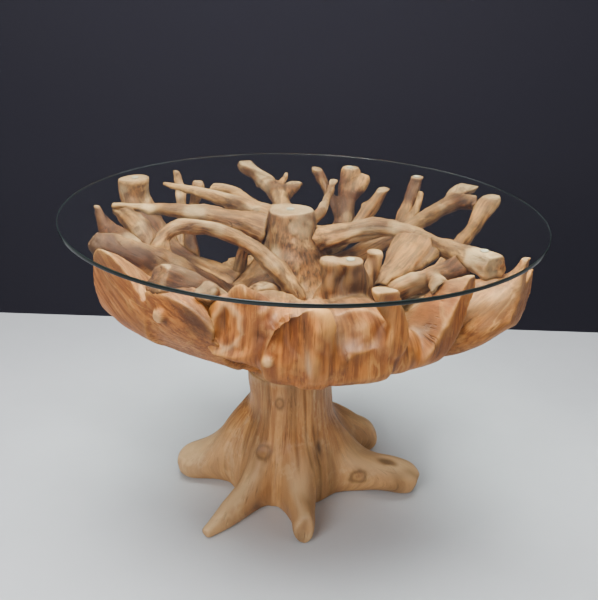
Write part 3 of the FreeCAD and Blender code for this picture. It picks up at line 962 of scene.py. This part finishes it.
    def relief(self, places: np.ndarray, sanded: np.ndarray) -> tuple[np.ndarray, np.ndarray]:
        """Works out the flutes, furrows and lumps.

        Args:
            places: where the skin lies.
            sanded: how far each place is sanded.

        Returns:
            The rise of each place, and how dark its furrow is.
        """
        seed = self.seed
        flutes = layered_noise(self.grain * FLUTES + seed * 3.7, seed, 2)
        lines = value_noise(self.grain * FURROWS + seed * 5.3, seed + 7)
        where = smoothstep(-0.1, 0.4, value_noise(places * FURROW_PATCHES + seed, seed + 3))
        furrows = np.exp(-((lines / 0.20) ** 2)) * where
        lumps = layered_noise(places * LUMPS + seed, seed + 5, 2)
        gnarl = GNARL_HEIGHT * layered_noise(places * GNARLS + seed, seed + 13, 2) * (1.0 - sanded)
        rough = 1.0 - (0.72 if self.finish is RIM else 0.15) * sanded
        carved = (self.flute * flutes - self.furrow * furrows) * rough
        rise = carved + self.lump * lumps * (1.0 - 0.5 * sanded)
        return rise + gnarl, furrows * 0.55 * rough

    def carve(self, others: list["RootPiece"], seamed: set[frozenset[str]]) -> None:
        """Shapes the skin: fillets, sawn faces, flutes, furrows, lumps and marks.

        Args:
            others: all the wood pieces.
            seamed: pairs that keep an open seam.
        """
        skin = self.skin
        move, crease = self.meet(others, seamed)
        skin.places = skin.places + move
        self.flatten()
        before = skin.places.copy()
        normals = skin.normals()
        sanded = self.sanding(before, normals)
        height, dark = self.relief(before, sanded)
        cream = np.zeros(len(before))
        uneven = 1.0 + 0.22 * layered_noise(before * MARK_EDGES + self.seed, self.seed + 19, 2)
        for mark in (*self.marks, *self.grown_marks()):
            rise, stain, bleach = mark.look(mark.spread(before) * uneven)
            height = height + rise
            dark = np.maximum(dark, stain)
            cream = np.maximum(cream, bleach)
        level = smoothstep(*SAWN_BAND, before[:, 2])
        foot = smoothstep(*FLOOR_BAND, before[:, 2])
        skin.places = skin.places + normals * (height * level * foot)[:, None]
        skin.places[:, 2] = np.clip(skin.places[:, 2], 0.0, TIP_LEVEL)
        self.tint(before, sanded, crease, dark, cream)

    def tint(self, before: np.ndarray, sanded: np.ndarray, crease: np.ndarray, dark: np.ndarray,
             cream: np.ndarray) -> None:
        """Keeps on the skin what its finish reads: grain, form, tone and age.

        Args:
            before: where the skin lay before it was carved.
            sanded, crease, dark, cream: a share for each place.
        """
        skin, seed = self.skin, self.seed
        normals = skin.normals()
        upward = normals[:, 2]
        bend = ((skin.averaged(skin.places, 3) - skin.places) * normals).sum(1) / self.cell
        wear_and_top_light = np.clip(skin.averaged(-bend, 2) * 2.2, 0.0, 1.0)
        hollow = np.clip(skin.averaged(bend, 2) * 1.6, 0.0, 1.0)
        raw = 1.0 - sanded
        tops = smoothstep(0.25, 0.95, upward)
        # painted top light: raw wood that faces up is made paler, added to the wear of the convex edges
        wear_and_top_light = np.maximum(wear_and_top_light, 0.42 * raw * tops)
        # the feet are paler near the floor: pale dust, and more on their tops, where it is painted top light
        if self.finish is PEDESTAL:
            cream = np.maximum(cream, smoothstep(*PALE_FEET, before[:, 2]) * (0.30 + 0.50 * tops))
        # painted shade: raw wood that faces down is darkened, on the undersides of the limbs
        dark = np.maximum(dark, 0.45 * raw * smoothstep(0.10, -0.70, upward))
        cut = smoothstep(*CUT_BAND, TIP_LEVEL - before[:, 2]) * smoothstep(0.7, 0.95, upward)
        patch = 0.70 + 1.3 * layered_noise(before * OLD_PATCHES + seed, seed + 11)
        pale = smoothstep(0.10, 0.55, layered_noise(before * PALE_PATCHES + seed, seed + 17))
        cream = np.maximum(cream, 0.55 * raw * pale)
        old = np.clip(self.age * patch * raw * (1.0 - 0.6 * cut), 0.0, 1.0)
        # painted shade: creases, hollows and places close to a neighbouring piece are darkened
        creased = np.clip(crease * 0.8 + hollow * 0.7, 0.0, 1.0)
        skin.keep("grain", self.grain + np.array([0.0, 0.0, seed * 1.7]))
        skin.keep("form", np.stack([wear_and_top_light, creased, cut], 1))
        skin.keep("age", np.repeat(old[:, None], 3, axis=1))
        skin.keep("tone", np.stack([sanded, np.clip(dark, 0.0, 1.0), np.clip(cream, 0.0, 1.0)], 1))

    def dress(self, materials: dict[str, bpy.types.Material]) -> bpy.types.Object:
        """Puts the carved piece in the scene in place of its solid.

        Args:
            materials: the wood materials by name.

        Returns:
            The new object.
        """
        mesh = self.skin.mesh
        mesh.polygons.foreach_set("use_smooth", [True] * len(mesh.polygons))
        mesh.materials.clear()
        mesh.materials.append(materials[self.finish.name])
        mesh.update()
        made = bpy.data.objects.new(self.name, mesh)
        bpy.context.scene.collection.objects.link(made)
        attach(made, "base")
        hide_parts(*self.nodes)
        return made


@dataclass
class RootStock:
    """The stump, the crown and all the roots let into it."""

    pieces: list[RootPiece]
    seamed: set[frozenset[str]]

    def build(self) -> list[bpy.types.Object]:
        """Carves and dresses every piece.

        Returns:
            The new objects.
        """
        group = figure_group()
        materials = {finish.name: finish.material(group) for finish in (RIM, LIMB, PEDESTAL)}
        for number, piece in enumerate(self.pieces):
            piece.seed = number + 1
            piece.grow()
            piece.follow()
        for piece in self.pieces:
            piece.carve(self.pieces, self.seamed)
        return [piece.dress(materials) for piece in self.pieces]


def let_through(bench: Bench, shader: bpy.types.Node) -> None:
    """Lets light through to what lies below, so that the glass throws no hard shadow.

    Args:
        bench: the material's node tree.
        shader: the glass shader.
    """
    mix = bench.add("ShaderNodeMixShader")
    through = bench.add("ShaderNodeBsdfTransparent")
    bench.wire(through.inputs["Color"], linear(244, 249, 246))
    bench.wire(mix.inputs[0], bench.add("ShaderNodeLightPath").outputs["Is Shadow Ray"])
    bench.wire(mix.inputs[1], shader.outputs[0])
    bench.wire(mix.inputs[2], through.outputs[0])
    bench.surface(mix)


@dataclass(frozen=True)
class CloudedFinish:
    """A finish that drifts between two colours, and that may be metal or let light through.

    Clouds are the lumps of its pattern to a metre, and layers say how strong the finer ones are. The
    pattern may be stretched or eased over a span, and uneven is what it adds to the roughness.
    """

    name: str
    low: Colour
    high: Colour
    clouds: float
    rough: float
    detail: float = 3.0
    layers: float = 0.55
    stretch: Spot = (1.0, 1.0, 1.0)
    span: tuple[float, float] | None = None
    uneven: float = 0.0
    metal: float = 0.0
    clear: float = 0.0
    index: float = 1.50

    def material(self) -> bpy.types.Material:
        """Builds the material.

        Returns:
            The new material.
        """
        bench, made, shader = Bench.material(self.name)
        place = bench.stretched(bench.place(), self.stretch)
        cloud = bench.noise(place, self.clouds, self.detail, self.layers)
        if self.span is not None:
            cloud = bench.ease(cloud, *self.span)
        colour = self.low if self.low == self.high else bench.blend(cloud, self.low, self.high)
        rough = bench.maths("MULTIPLY_ADD", cloud, self.uneven, self.rough) if self.uneven else self.rough
        bench.wire(shader.inputs["Base Color"], colour)
        bench.wire(shader.inputs["Roughness"], rough)
        bench.wire(shader.inputs["Metallic"], self.metal)
        if self.clear:
            bench.wire(shader.inputs["IOR"], self.index)
            bench.wire(shader.inputs["Transmission Weight"], self.clear)
            let_through(bench, shader)
        else:
            bench.surface(shader)
        return made


FLOAT_TINT = linear(250, 253, 251)
FLOAT_GLASS = CloudedFinish(
    "clear_float_glass", FLOAT_TINT, FLOAT_TINT, 3.0, 0.0, 4.0, span=(0.3, 0.8), uneven=0.02, clear=1.0)
GREEN_EDGE = CloudedFinish(
    "green_glass_edge", linear(6, 18, 15), linear(10, 30, 25), 5.0, 0.06, span=(0.35, 0.7), clear=0.45)
GROUND_ARRIS = CloudedFinish(
    "ground_glass_arris", linear(14, 25, 22), linear(46, 60, 56), 40.0, 0.3, clear=0.25)
SOFT_PAD = CloudedFinish(
    "clear_soft_pad", linear(196, 184, 160), linear(226, 218, 200), 160.0, 0.12, clear=0.55, index=1.45)
PLATED_STEEL = CloudedFinish(
    "plated_steel", linear(150, 152, 156), linear(206, 208, 210), 90.0, 0.5, 4.0,
    stretch=(1.0, 1.0, 12.0), uneven=0.25, metal=1.0)
TURNED_HARDWOOD = CloudedFinish(
    "turned_hardwood", linear(176, 132, 88), linear(214, 176, 128), 260.0, 0.6, 4.0, stretch=(1.0, 1.0, 0.06))
PALE_FLOOR = CloudedFinish(
    "pale_floor", linear(190, 194, 199), linear(218, 221, 225), 1.6, 0.55, 5.0, 0.6)


@dataclass
class GlassTop:
    """The loose round pane and the clear pads that it lies on."""

    radius: float = 0.600
    level: float = 0.760
    thickness: float = 0.010
    arris: float = 0.0015
    facets: int = 240
    pad_arris: float = 0.0009
    pad_facets: int = 48

    def disc(self, bm: bmesh.types.BMesh, centre: Spot, radius: float, thickness: float, arris: float,
             around: int) -> None:
        """Adds a disc with rounded arrises.

        Args:
            bm: the mesh to add to.
            centre: middle of its underside.
            radius, thickness, arris: its sizes.
            around: facets round the edge.
        """
        place = Matrix.Translation(Vector(centre))
        made = bmesh.ops.create_circle(bm, cap_ends=True, segments=around, radius=radius, matrix=place)
        ring = made["verts"]
        under = ring[0].link_faces[0]
        raised = bmesh.ops.extrude_face_region(bm, geom=[under], use_keep_orig=True)["geom"]
        lifted = [part for part in raised if isinstance(part, bmesh.types.BMVert)]
        bmesh.ops.translate(bm, verts=lifted, vec=(0.0, 0.0, thickness))
        faces = list(dict.fromkeys(face for vert in [*ring, *lifted] for face in vert.link_faces))
        bmesh.ops.recalc_face_normals(bm, faces=faces)
        rims = dict.fromkeys(edge for face in faces if len(face.verts) > 4 for edge in face.edges)
        bmesh.ops.bevel(bm, geom=list(rims), offset=arris, offset_type="OFFSET", affect="EDGES",
                        segments=ARRIS_STEPS, profile=0.5, material=-1)

    def pane(self) -> bpy.types.Object:
        """Builds the pane.

        Returns:
            The new object.
        """
        bm = bmesh.new()
        self.disc(bm, (0.0, 0.0, self.level), self.radius, self.thickness, self.arris, self.facets)
        for face in bm.faces:
            flat = abs(face.normal.z) > FLAT
            upright = abs(face.normal.z) < UPRIGHT
            face.material_index = 0 if flat else 1 if upright else 2
            face.smooth = not flat
        mesh = bpy.data.meshes.new("glass_pane")
        bm.to_mesh(mesh)
        bm.free()
        for finish in (FLOAT_GLASS, GREEN_EDGE, GROUND_ARRIS):
            mesh.materials.append(finish.material())
        made = bpy.data.objects.new("glass_pane", mesh)
        bpy.context.scene.collection.objects.link(made)
        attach(made, "glass")
        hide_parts("glass_top")
        return made

    def pad_boxes(self) -> list[tuple[np.ndarray, np.ndarray]]:
        """Measures where the solids have the pads.

        Returns:
            The low and the high corner of each pad.
        """
        solid = bmesh.new()
        solid.from_mesh(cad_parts["glass_pads"].data)
        bmesh.ops.remove_doubles(solid, verts=solid.verts, dist=1e-6)
        boxes = []
        seen = set()
        for first in solid.verts:
            if first in seen:
                continue
            island = {first}
            edge = {first}
            while edge:
                edge = {link.other_vert(vert) for vert in edge for link in vert.link_edges} - island
                island |= edge
            seen |= island
            spots = np.array([vert.co for vert in island])
            boxes.append((spots.min(0), spots.max(0)))
        solid.free()
        return boxes

    def pads(self) -> bpy.types.Object:
        """Builds the soft clear pads where the solids have them.

        Returns:
            The new object.
        """
        bm = bmesh.new()
        for low, high in self.pad_boxes():
            middle = (low + high) / 2.0
            wide, _, thick = (float(size) for size in high - low)
            self.disc(bm, (middle[0], middle[1], low[2]), wide / 2.0, thick, self.pad_arris, self.pad_facets)
        for face in bm.faces:
            face.smooth = abs(face.normal.z) < FLAT
        mesh = bpy.data.meshes.new("clear_pads")
        bm.to_mesh(mesh)
        bm.free()
        mesh.materials.append(SOFT_PAD.material())
        made = bpy.data.objects.new("clear_pads", mesh)
        bpy.context.scene.collection.objects.link(made)
        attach(made, "base")
        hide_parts("glass_pads")
        return made


@dataclass
class Fastenings:
    """The rod and the dowels inside the stump and the crown."""

    rod: str = "tie_rod"
    dowels: str = "seat_dowels"

    def dress(self) -> list[bpy.types.Object]:
        """Gives the solids their finish.

        Returns:
            The dressed solids.
        """
        made = []
        for node, finish in ((self.rod, PLATED_STEEL), (self.dowels, TURNED_HARDWOOD)):
            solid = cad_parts[node]
            solid.data.materials.clear()
            solid.data.materials.append(finish.material())
            made.append(solid)
        return made


@dataclass(frozen=True)
class Lamp:
    """A soft square light that faces the table, its power in watts."""

    name: str
    place: Spot
    size: float
    power: float

    def hang(self) -> None:
        """Puts the light in the scene."""
        data = bpy.data.lights.new(self.name, "AREA")
        data.size = self.size
        data.energy = self.power
        made = bpy.data.objects.new(self.name, data)
        made.location = self.place
        made.rotation_mode = "QUATERNION"
        made.rotation_quaternion = (Vector(LAMP_AIM) - Vector(self.place)).to_track_quat("-Z", "Y")
        bpy.context.scene.collection.objects.link(made)


LAMP_AIM = (0.0, 0.0, 0.4)
LAMPS = (
    Lamp("overhead", (-0.2, -0.3, 2.9), 1.7, 150.0),
    Lamp("front_fill", (-1.4, -2.8, 1.7), 1.6, 64.0),
    Lamp("side_fill", (2.4, -1.6, 1.9), 1.4, 14.0),
)


@dataclass
class Studio:
    """The floor, the backdrop, the light and the camera."""

    eye: Spot = (-0.00565, -2.04508, 1.39111)
    pitch: float = math.radians(23.024)
    roll: float = math.radians(1.924)
    lens: float = 50.846
    floor_half: float = 7.0
    wall_half: float = 1.6
    wall_height: float = 2.4
    wall_back: float = 1.00
    room_light: float = 0.12

    def camera(self) -> None:
        """Sets up the camera at the photograph's viewing angle."""
        made = bpy.data.objects.new("camera", bpy.data.cameras.new("camera"))
        made.data.sensor_width = 36.0
        made.data.lens = self.lens
        up = Vector((0.0, math.sin(self.pitch), math.cos(self.pitch)))
        behind = Vector((0.0, -math.cos(self.pitch), math.sin(self.pitch)))
        right = Vector((1.0, 0.0, 0.0))
        across = right * math.cos(self.roll) + up * math.sin(self.roll)
        above = up * math.cos(self.roll) - right * math.sin(self.roll)
        turn = Matrix((across, above, behind)).transposed().to_4x4()
        made.matrix_world = Matrix.Translation(Vector(self.eye)) @ turn
        bpy.context.scene.collection.objects.link(made)
        bpy.context.scene.camera = made

    def sheet(self, name: str, corners: list[Spot], finish: bpy.types.Material) -> bpy.types.Object:
        """A flat sheet that stands for the floor or the backdrop.

        Args:
            name: the object's name.
            corners: its four corners, seen from the front.
            finish: its material.

        Returns:
            The new object.
        """
        bm = bmesh.new()
        bm.faces.new([bm.verts.new(corner) for corner in corners])
        mesh = bpy.data.meshes.new(name)
        bm.to_mesh(mesh)
        bm.free()
        mesh.materials.append(finish)
        made = bpy.data.objects.new(name, mesh)
        bpy.context.scene.collection.objects.link(made)
        return made

    def dark(self) -> bpy.types.Material:
        """The dark backdrop, seen only from its front.

        Returns:
            The new material.
        """
        bench, made, shader = Bench.material("dark_backdrop")
        bench.wire(shader.inputs["Base Color"], linear(38, 37, 44))
        bench.wire(shader.inputs["Roughness"], 1.0)
        bench.wire(shader.inputs["Specular IOR Level"], 0.05)
        mix = bench.add("ShaderNodeMixShader")
        bench.wire(mix.inputs[0], bench.add("ShaderNodeNewGeometry").outputs["Backfacing"])
        bench.wire(mix.inputs[1], shader.outputs[0])
        bench.wire(mix.inputs[2], bench.add("ShaderNodeBsdfTransparent").outputs[0])
        bench.surface(mix)
        return made

    def build(self) -> None:
        """Builds the whole studio."""
        self.camera()
        far, half, back, high = self.floor_half, self.wall_half, self.wall_back, self.wall_height
        ground = [(-far, -far, 0.0), (far, -far, 0.0), (far, far, 0.0), (-far, far, 0.0)]
        upright = [(-half, back, 0.0), (half, back, 0.0), (half, back, high), (-half, back, high)]
        self.sheet("floor", ground, PALE_FLOOR.material())
        wall = self.sheet("backdrop", upright, self.dark())
        wall.visible_shadow = False
        wall.visible_diffuse = False
        for lamp in LAMPS:
            lamp.hang()
        world = bpy.data.worlds.new("soft_room")
        world.use_nodes = True
        world.node_tree.nodes["Background"].inputs["Color"].default_value = (0.80, 0.80, 0.80, 1.0)
        world.node_tree.nodes["Background"].inputs["Strength"].default_value = self.room_light
        bpy.context.scene.world = world


# how grey each single root has weathered
LIMB_AGES = {
    "squared_limb": 0.87, "left_block": 1.22, "left_rear_root": 0.87, "right_arm": 0.34,
    "middle_left_arm": 0.34, "upper_left_arm": 0.42, "rear_arm": 0.57, "left_arch": 0.50,
    "broken_stub": 0.72, "back_post": 1.12, "rear_right_post": 1.02, "rear_right_arm": 0.77,
    "right_brace": 0.47, "slant_stick": 0.42, "thin_strut": 0.57, "right_lower_limb": 0.67,
    "right_web": 0.37, "left_cross_limb": 0.67, "left_tall_post": 0.97, "left_thin_post": 0.97,
    "inner_prop": 0.72}
BOWL_ROOTS = (
    "root_crown", "front_left_root", "front_nose_root", "front_stub_root", "front_rib", "right_front_slab",
    "rear_left_stub", "rear_stub", "rear_right_stub", "right_stub")
# the bowl is the largest skin, so its cells are a little wider
BOWL_CELL = 1.14 * SKIN_CELL
SEAMED = {frozenset(pair) for pair in (
    ("left_rim", "crown_bowl"), ("right_slab_wood", "crown_bowl"), ("left_rim", "left_block_wood"))}
STUMP_MARKS = (
    Mark(MarkKind.KNOT, (-0.048, -0.1435, 0.2905), 0.013, 0.003, (0.0, 0.0, 1.0), 1.5),
    Mark(MarkKind.KNOT, (-0.0864, -0.1619, 0.1556), 0.024, 0.005, (0.0, -0.4, 1.0), 1.5),
    Mark(MarkKind.PALE, (-0.035, -0.1905, 0.1213), 0.022, 0.0, (0.0, 0.0, 1.0), 1.4),
    Mark(MarkKind.KNOT, (0.1692, -0.1284, 0.0646), 0.022, 0.004, (1.0, 0.0, 0.2), 1.2),
    Mark(MarkKind.PALE, (0.020, -0.2315, 0.1212), 0.020, 0.0, (0.1, -1.0, -0.7), 2.0),
    Mark(MarkKind.DARK, (0.058, -0.1399, 0.147), 0.010, 1.0, (0.0, 0.0, 1.0), 6.0),
    Mark(MarkKind.HOLLOW, (0.2506, -0.0946, 0.0962), 0.014, 0.005, (1.0, -0.2, 0.0), 2.4),
)
BOWL_MARKS = (
    Mark(MarkKind.FACE, (-0.135, -0.492, 0.668), 0.085, 0.0, (-0.34, -0.93, 0.12)),
    Mark(MarkKind.FACE, (0.115, -0.468, 0.680), 0.090, 0.0, (0.0, -0.80, 0.60)),
    Mark(MarkKind.RING, (-0.152, -0.483, 0.660), 0.033, 0.0025, (0.08, -0.1, 1.0), 1.5),
    Mark(MarkKind.HOLLOW, (-0.163, -0.478, 0.668), 0.018, 0.006, (0.1, -0.1, 1.0), 1.9),
    Mark(MarkKind.PEG, (-0.0635, -0.5346, 0.6123), 0.012, 0.010),
    Mark(MarkKind.PEG, (0.0976, -0.5082, 0.6139), 0.008, 0.005),
    Mark(MarkKind.SCOOP, (-0.0320, -0.5350, 0.672), 0.034, 0.030, (0.25, 0.0, -1.0), 1.7),
    Mark(MarkKind.RIDGE, (0.0440, -0.5360, 0.690), 0.025, 0.020, (0.1, 0.0, 1.0), 1.6),
    Mark(MarkKind.RIDGE, (0.0320, -0.5370, 0.615), 0.014, 0.012, (0.0, 0.0, 1.0), 3.0),
    Mark(MarkKind.DARK, (0.0080, -0.5340, 0.680), 0.007, 0.85, (0.14, 0.0, -1.0), 7.0),
    Mark(MarkKind.DARK, (-0.0900, -0.5100, 0.655), 0.022, 0.55, (0.3, 0.0, -1.0), 2.4),
    Mark(MarkKind.SCOOP, (0.0960, -0.4900, 0.650), 0.024, 0.008, (-0.25, 0.0, -1.0), 2.2),
    Mark(MarkKind.SCOOP, (0.1450, -0.4900, 0.640), 0.020, 0.010, (0.45, 0.0, 1.0), 2.4),
    Mark(MarkKind.DARK, (0.0950, -0.4300, 0.690), 0.032, 0.45, (0.2, -0.4, -0.7), 1.8),
    Mark(MarkKind.SCOOP, (0.0820, -0.3740, 0.735), 0.013, 0.030, (0.0, 0.0, 1.0), 2.6),
    Mark(MarkKind.DARK, (0.1000, -0.3700, 0.705), 0.050, 0.75, (1.0, 0.0, 0.0), 1.4),
    Mark(MarkKind.DARK, (0.1560, -0.5080, 0.700), 0.012, 0.85, (0.1, 0.0, 1.0), 4.0),
    Mark(MarkKind.DARK, (0.2050, -0.4600, 0.640), 0.024, 0.6, (0.3, 0.1, 1.0), 2.0),
    Mark(MarkKind.CREAM, (0.0180, -0.5390, 0.605), 0.006, 0.0, (0.12, 0.0, -1.0), 6.0),
    Mark(MarkKind.DARK, (0.1436, -0.5007, 0.6636), 0.008, 0.8, (0.1, 0.0, 1.0), 5.0),
    Mark(MarkKind.CREAM, (0.2427, -0.4032, 0.621), 0.012, 0.0, (0.6, -0.6, 0.6), 3.0),
    # painted shade: darkens the inner face of the right front slab, which faces up into the light
    Mark(MarkKind.DARK, (0.2540, -0.4150, 0.643), 0.048, 0.66, (0.6, -0.4, 0.5), 1.6),
    Mark(MarkKind.DARK, (0.0000, -0.5320, 0.610), 0.030, 0.30, (0.0, 0.0, 1.0), 1.6),
    # painted shade: darkens the up-facing shelf below the right sawn face
    Mark(MarkKind.DARK, (0.1060, -0.5030, 0.638), 0.040, 0.68, (1.0, 0.0, 0.0), 1.4),
)
BOWL_SWELLS = (
    Swell((-0.075, -0.488, 0.655), (0.036, 0.034, 0.065)),
    Swell((0.195, -0.430, 0.600), (0.060, 0.055, 0.055)),
    Swell((0.070, -0.490, 0.600), (0.045, 0.035, 0.045)),
    Swell((0.105, -0.425, 0.648), (0.062, 0.070, 0.048)),
    Swell((0.108, -0.464, 0.628), (0.066, 0.048, 0.036)),
)
LEFT_MARKS = (
    Mark(MarkKind.PEG, (-0.2900, -0.4490, 0.6700), 0.015, 0.014),
    # painted shade: a large dark patch in the recess at the front of the left rim
    Mark(MarkKind.DARK, (-0.2150, -0.4920, 0.6800), 0.042, 0.90, (0.4, 0.1, -0.3), 1.6),
    Mark(MarkKind.DARK, (-0.2809, -0.4577, 0.6389), 0.004, 1.0, (0.1, 0.1, 1.0), 9.0),
    Mark(MarkKind.DARK, (-0.2409, -0.4786, 0.6320), 0.004, 1.0, (0.1, 0.1, 1.0), 7.0),
    Mark(MarkKind.DARK, (-0.3199, -0.4033, 0.6819), 0.004, 1.0, (0.1, 0.1, 1.0), 9.0),
)
# painted highlights: pale patches on the upper part of the right slab, where side light falls
RIGHT_SLAB_HIGHLIGHTS = (
    Mark(MarkKind.PALE, (0.4335, -0.3285, 0.6895), 0.036, 0.0, (0.30, 0.16, 0.10), 2.2),
    Mark(MarkKind.PALE, (0.3700, -0.3560, 0.6700), 0.030, 0.0, (0.30, 0.16, 0.10), 1.8),
)


def wood_pieces() -> list[RootPiece]:
    """The stump, the crown with the roots grown to it, and the single roots.

    Returns:
        The pieces in the order in which they are carved.
    """
    pieces = [
        RootPiece("stump_wood", ("stump",), PEDESTAL, "stump", flute=0.0014, furrow=0.0012, lump=0.0045,
                  fill=80, soften=3, start=Start.TOP, marks=STUMP_MARKS),
        RootPiece("crown_bowl", BOWL_ROOTS, RIM, "crown", fill=26, fill_below=0.67, age=0.65,
                  start=Start.FOOT, spread=0.30, marks=BOWL_MARKS, swells=BOWL_SWELLS, cell=BOWL_CELL),
        RootPiece("left_rim", ("left_slab", "left_front_root"), RIM, "rim", fill=24, lie=(0.31, -0.30, -0.22),
                  marks=LEFT_MARKS, lifts=(("left_front_root", 0.048),)),
        RootPiece("right_slab_wood", ("right_slab",), RIM, "rim", lie=(0.30, 0.16, 0.24), marks=RIGHT_SLAB_HIGHLIGHTS),
    ]
    return pieces + [RootPiece(node + "_wood", (node,), age=age, knots=5) for node, age in LIMB_AGES.items()]


def main() -> None:
    """Builds the table piece by piece, then the studio."""
    logging.basicConfig(level=logging.INFO, format="%(message)s")
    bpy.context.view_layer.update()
    wood = RootStock(wood_pieces(), SEAMED)
    glass = GlassTop()
    for piece in (*wood.build(), glass.pane(), glass.pads(), *Fastenings().dress()):
        LOG.info("%s: %d faces", piece.name, len(piece.data.polygons))
    Studio().build()


if __name__ == "__main__":
    main()
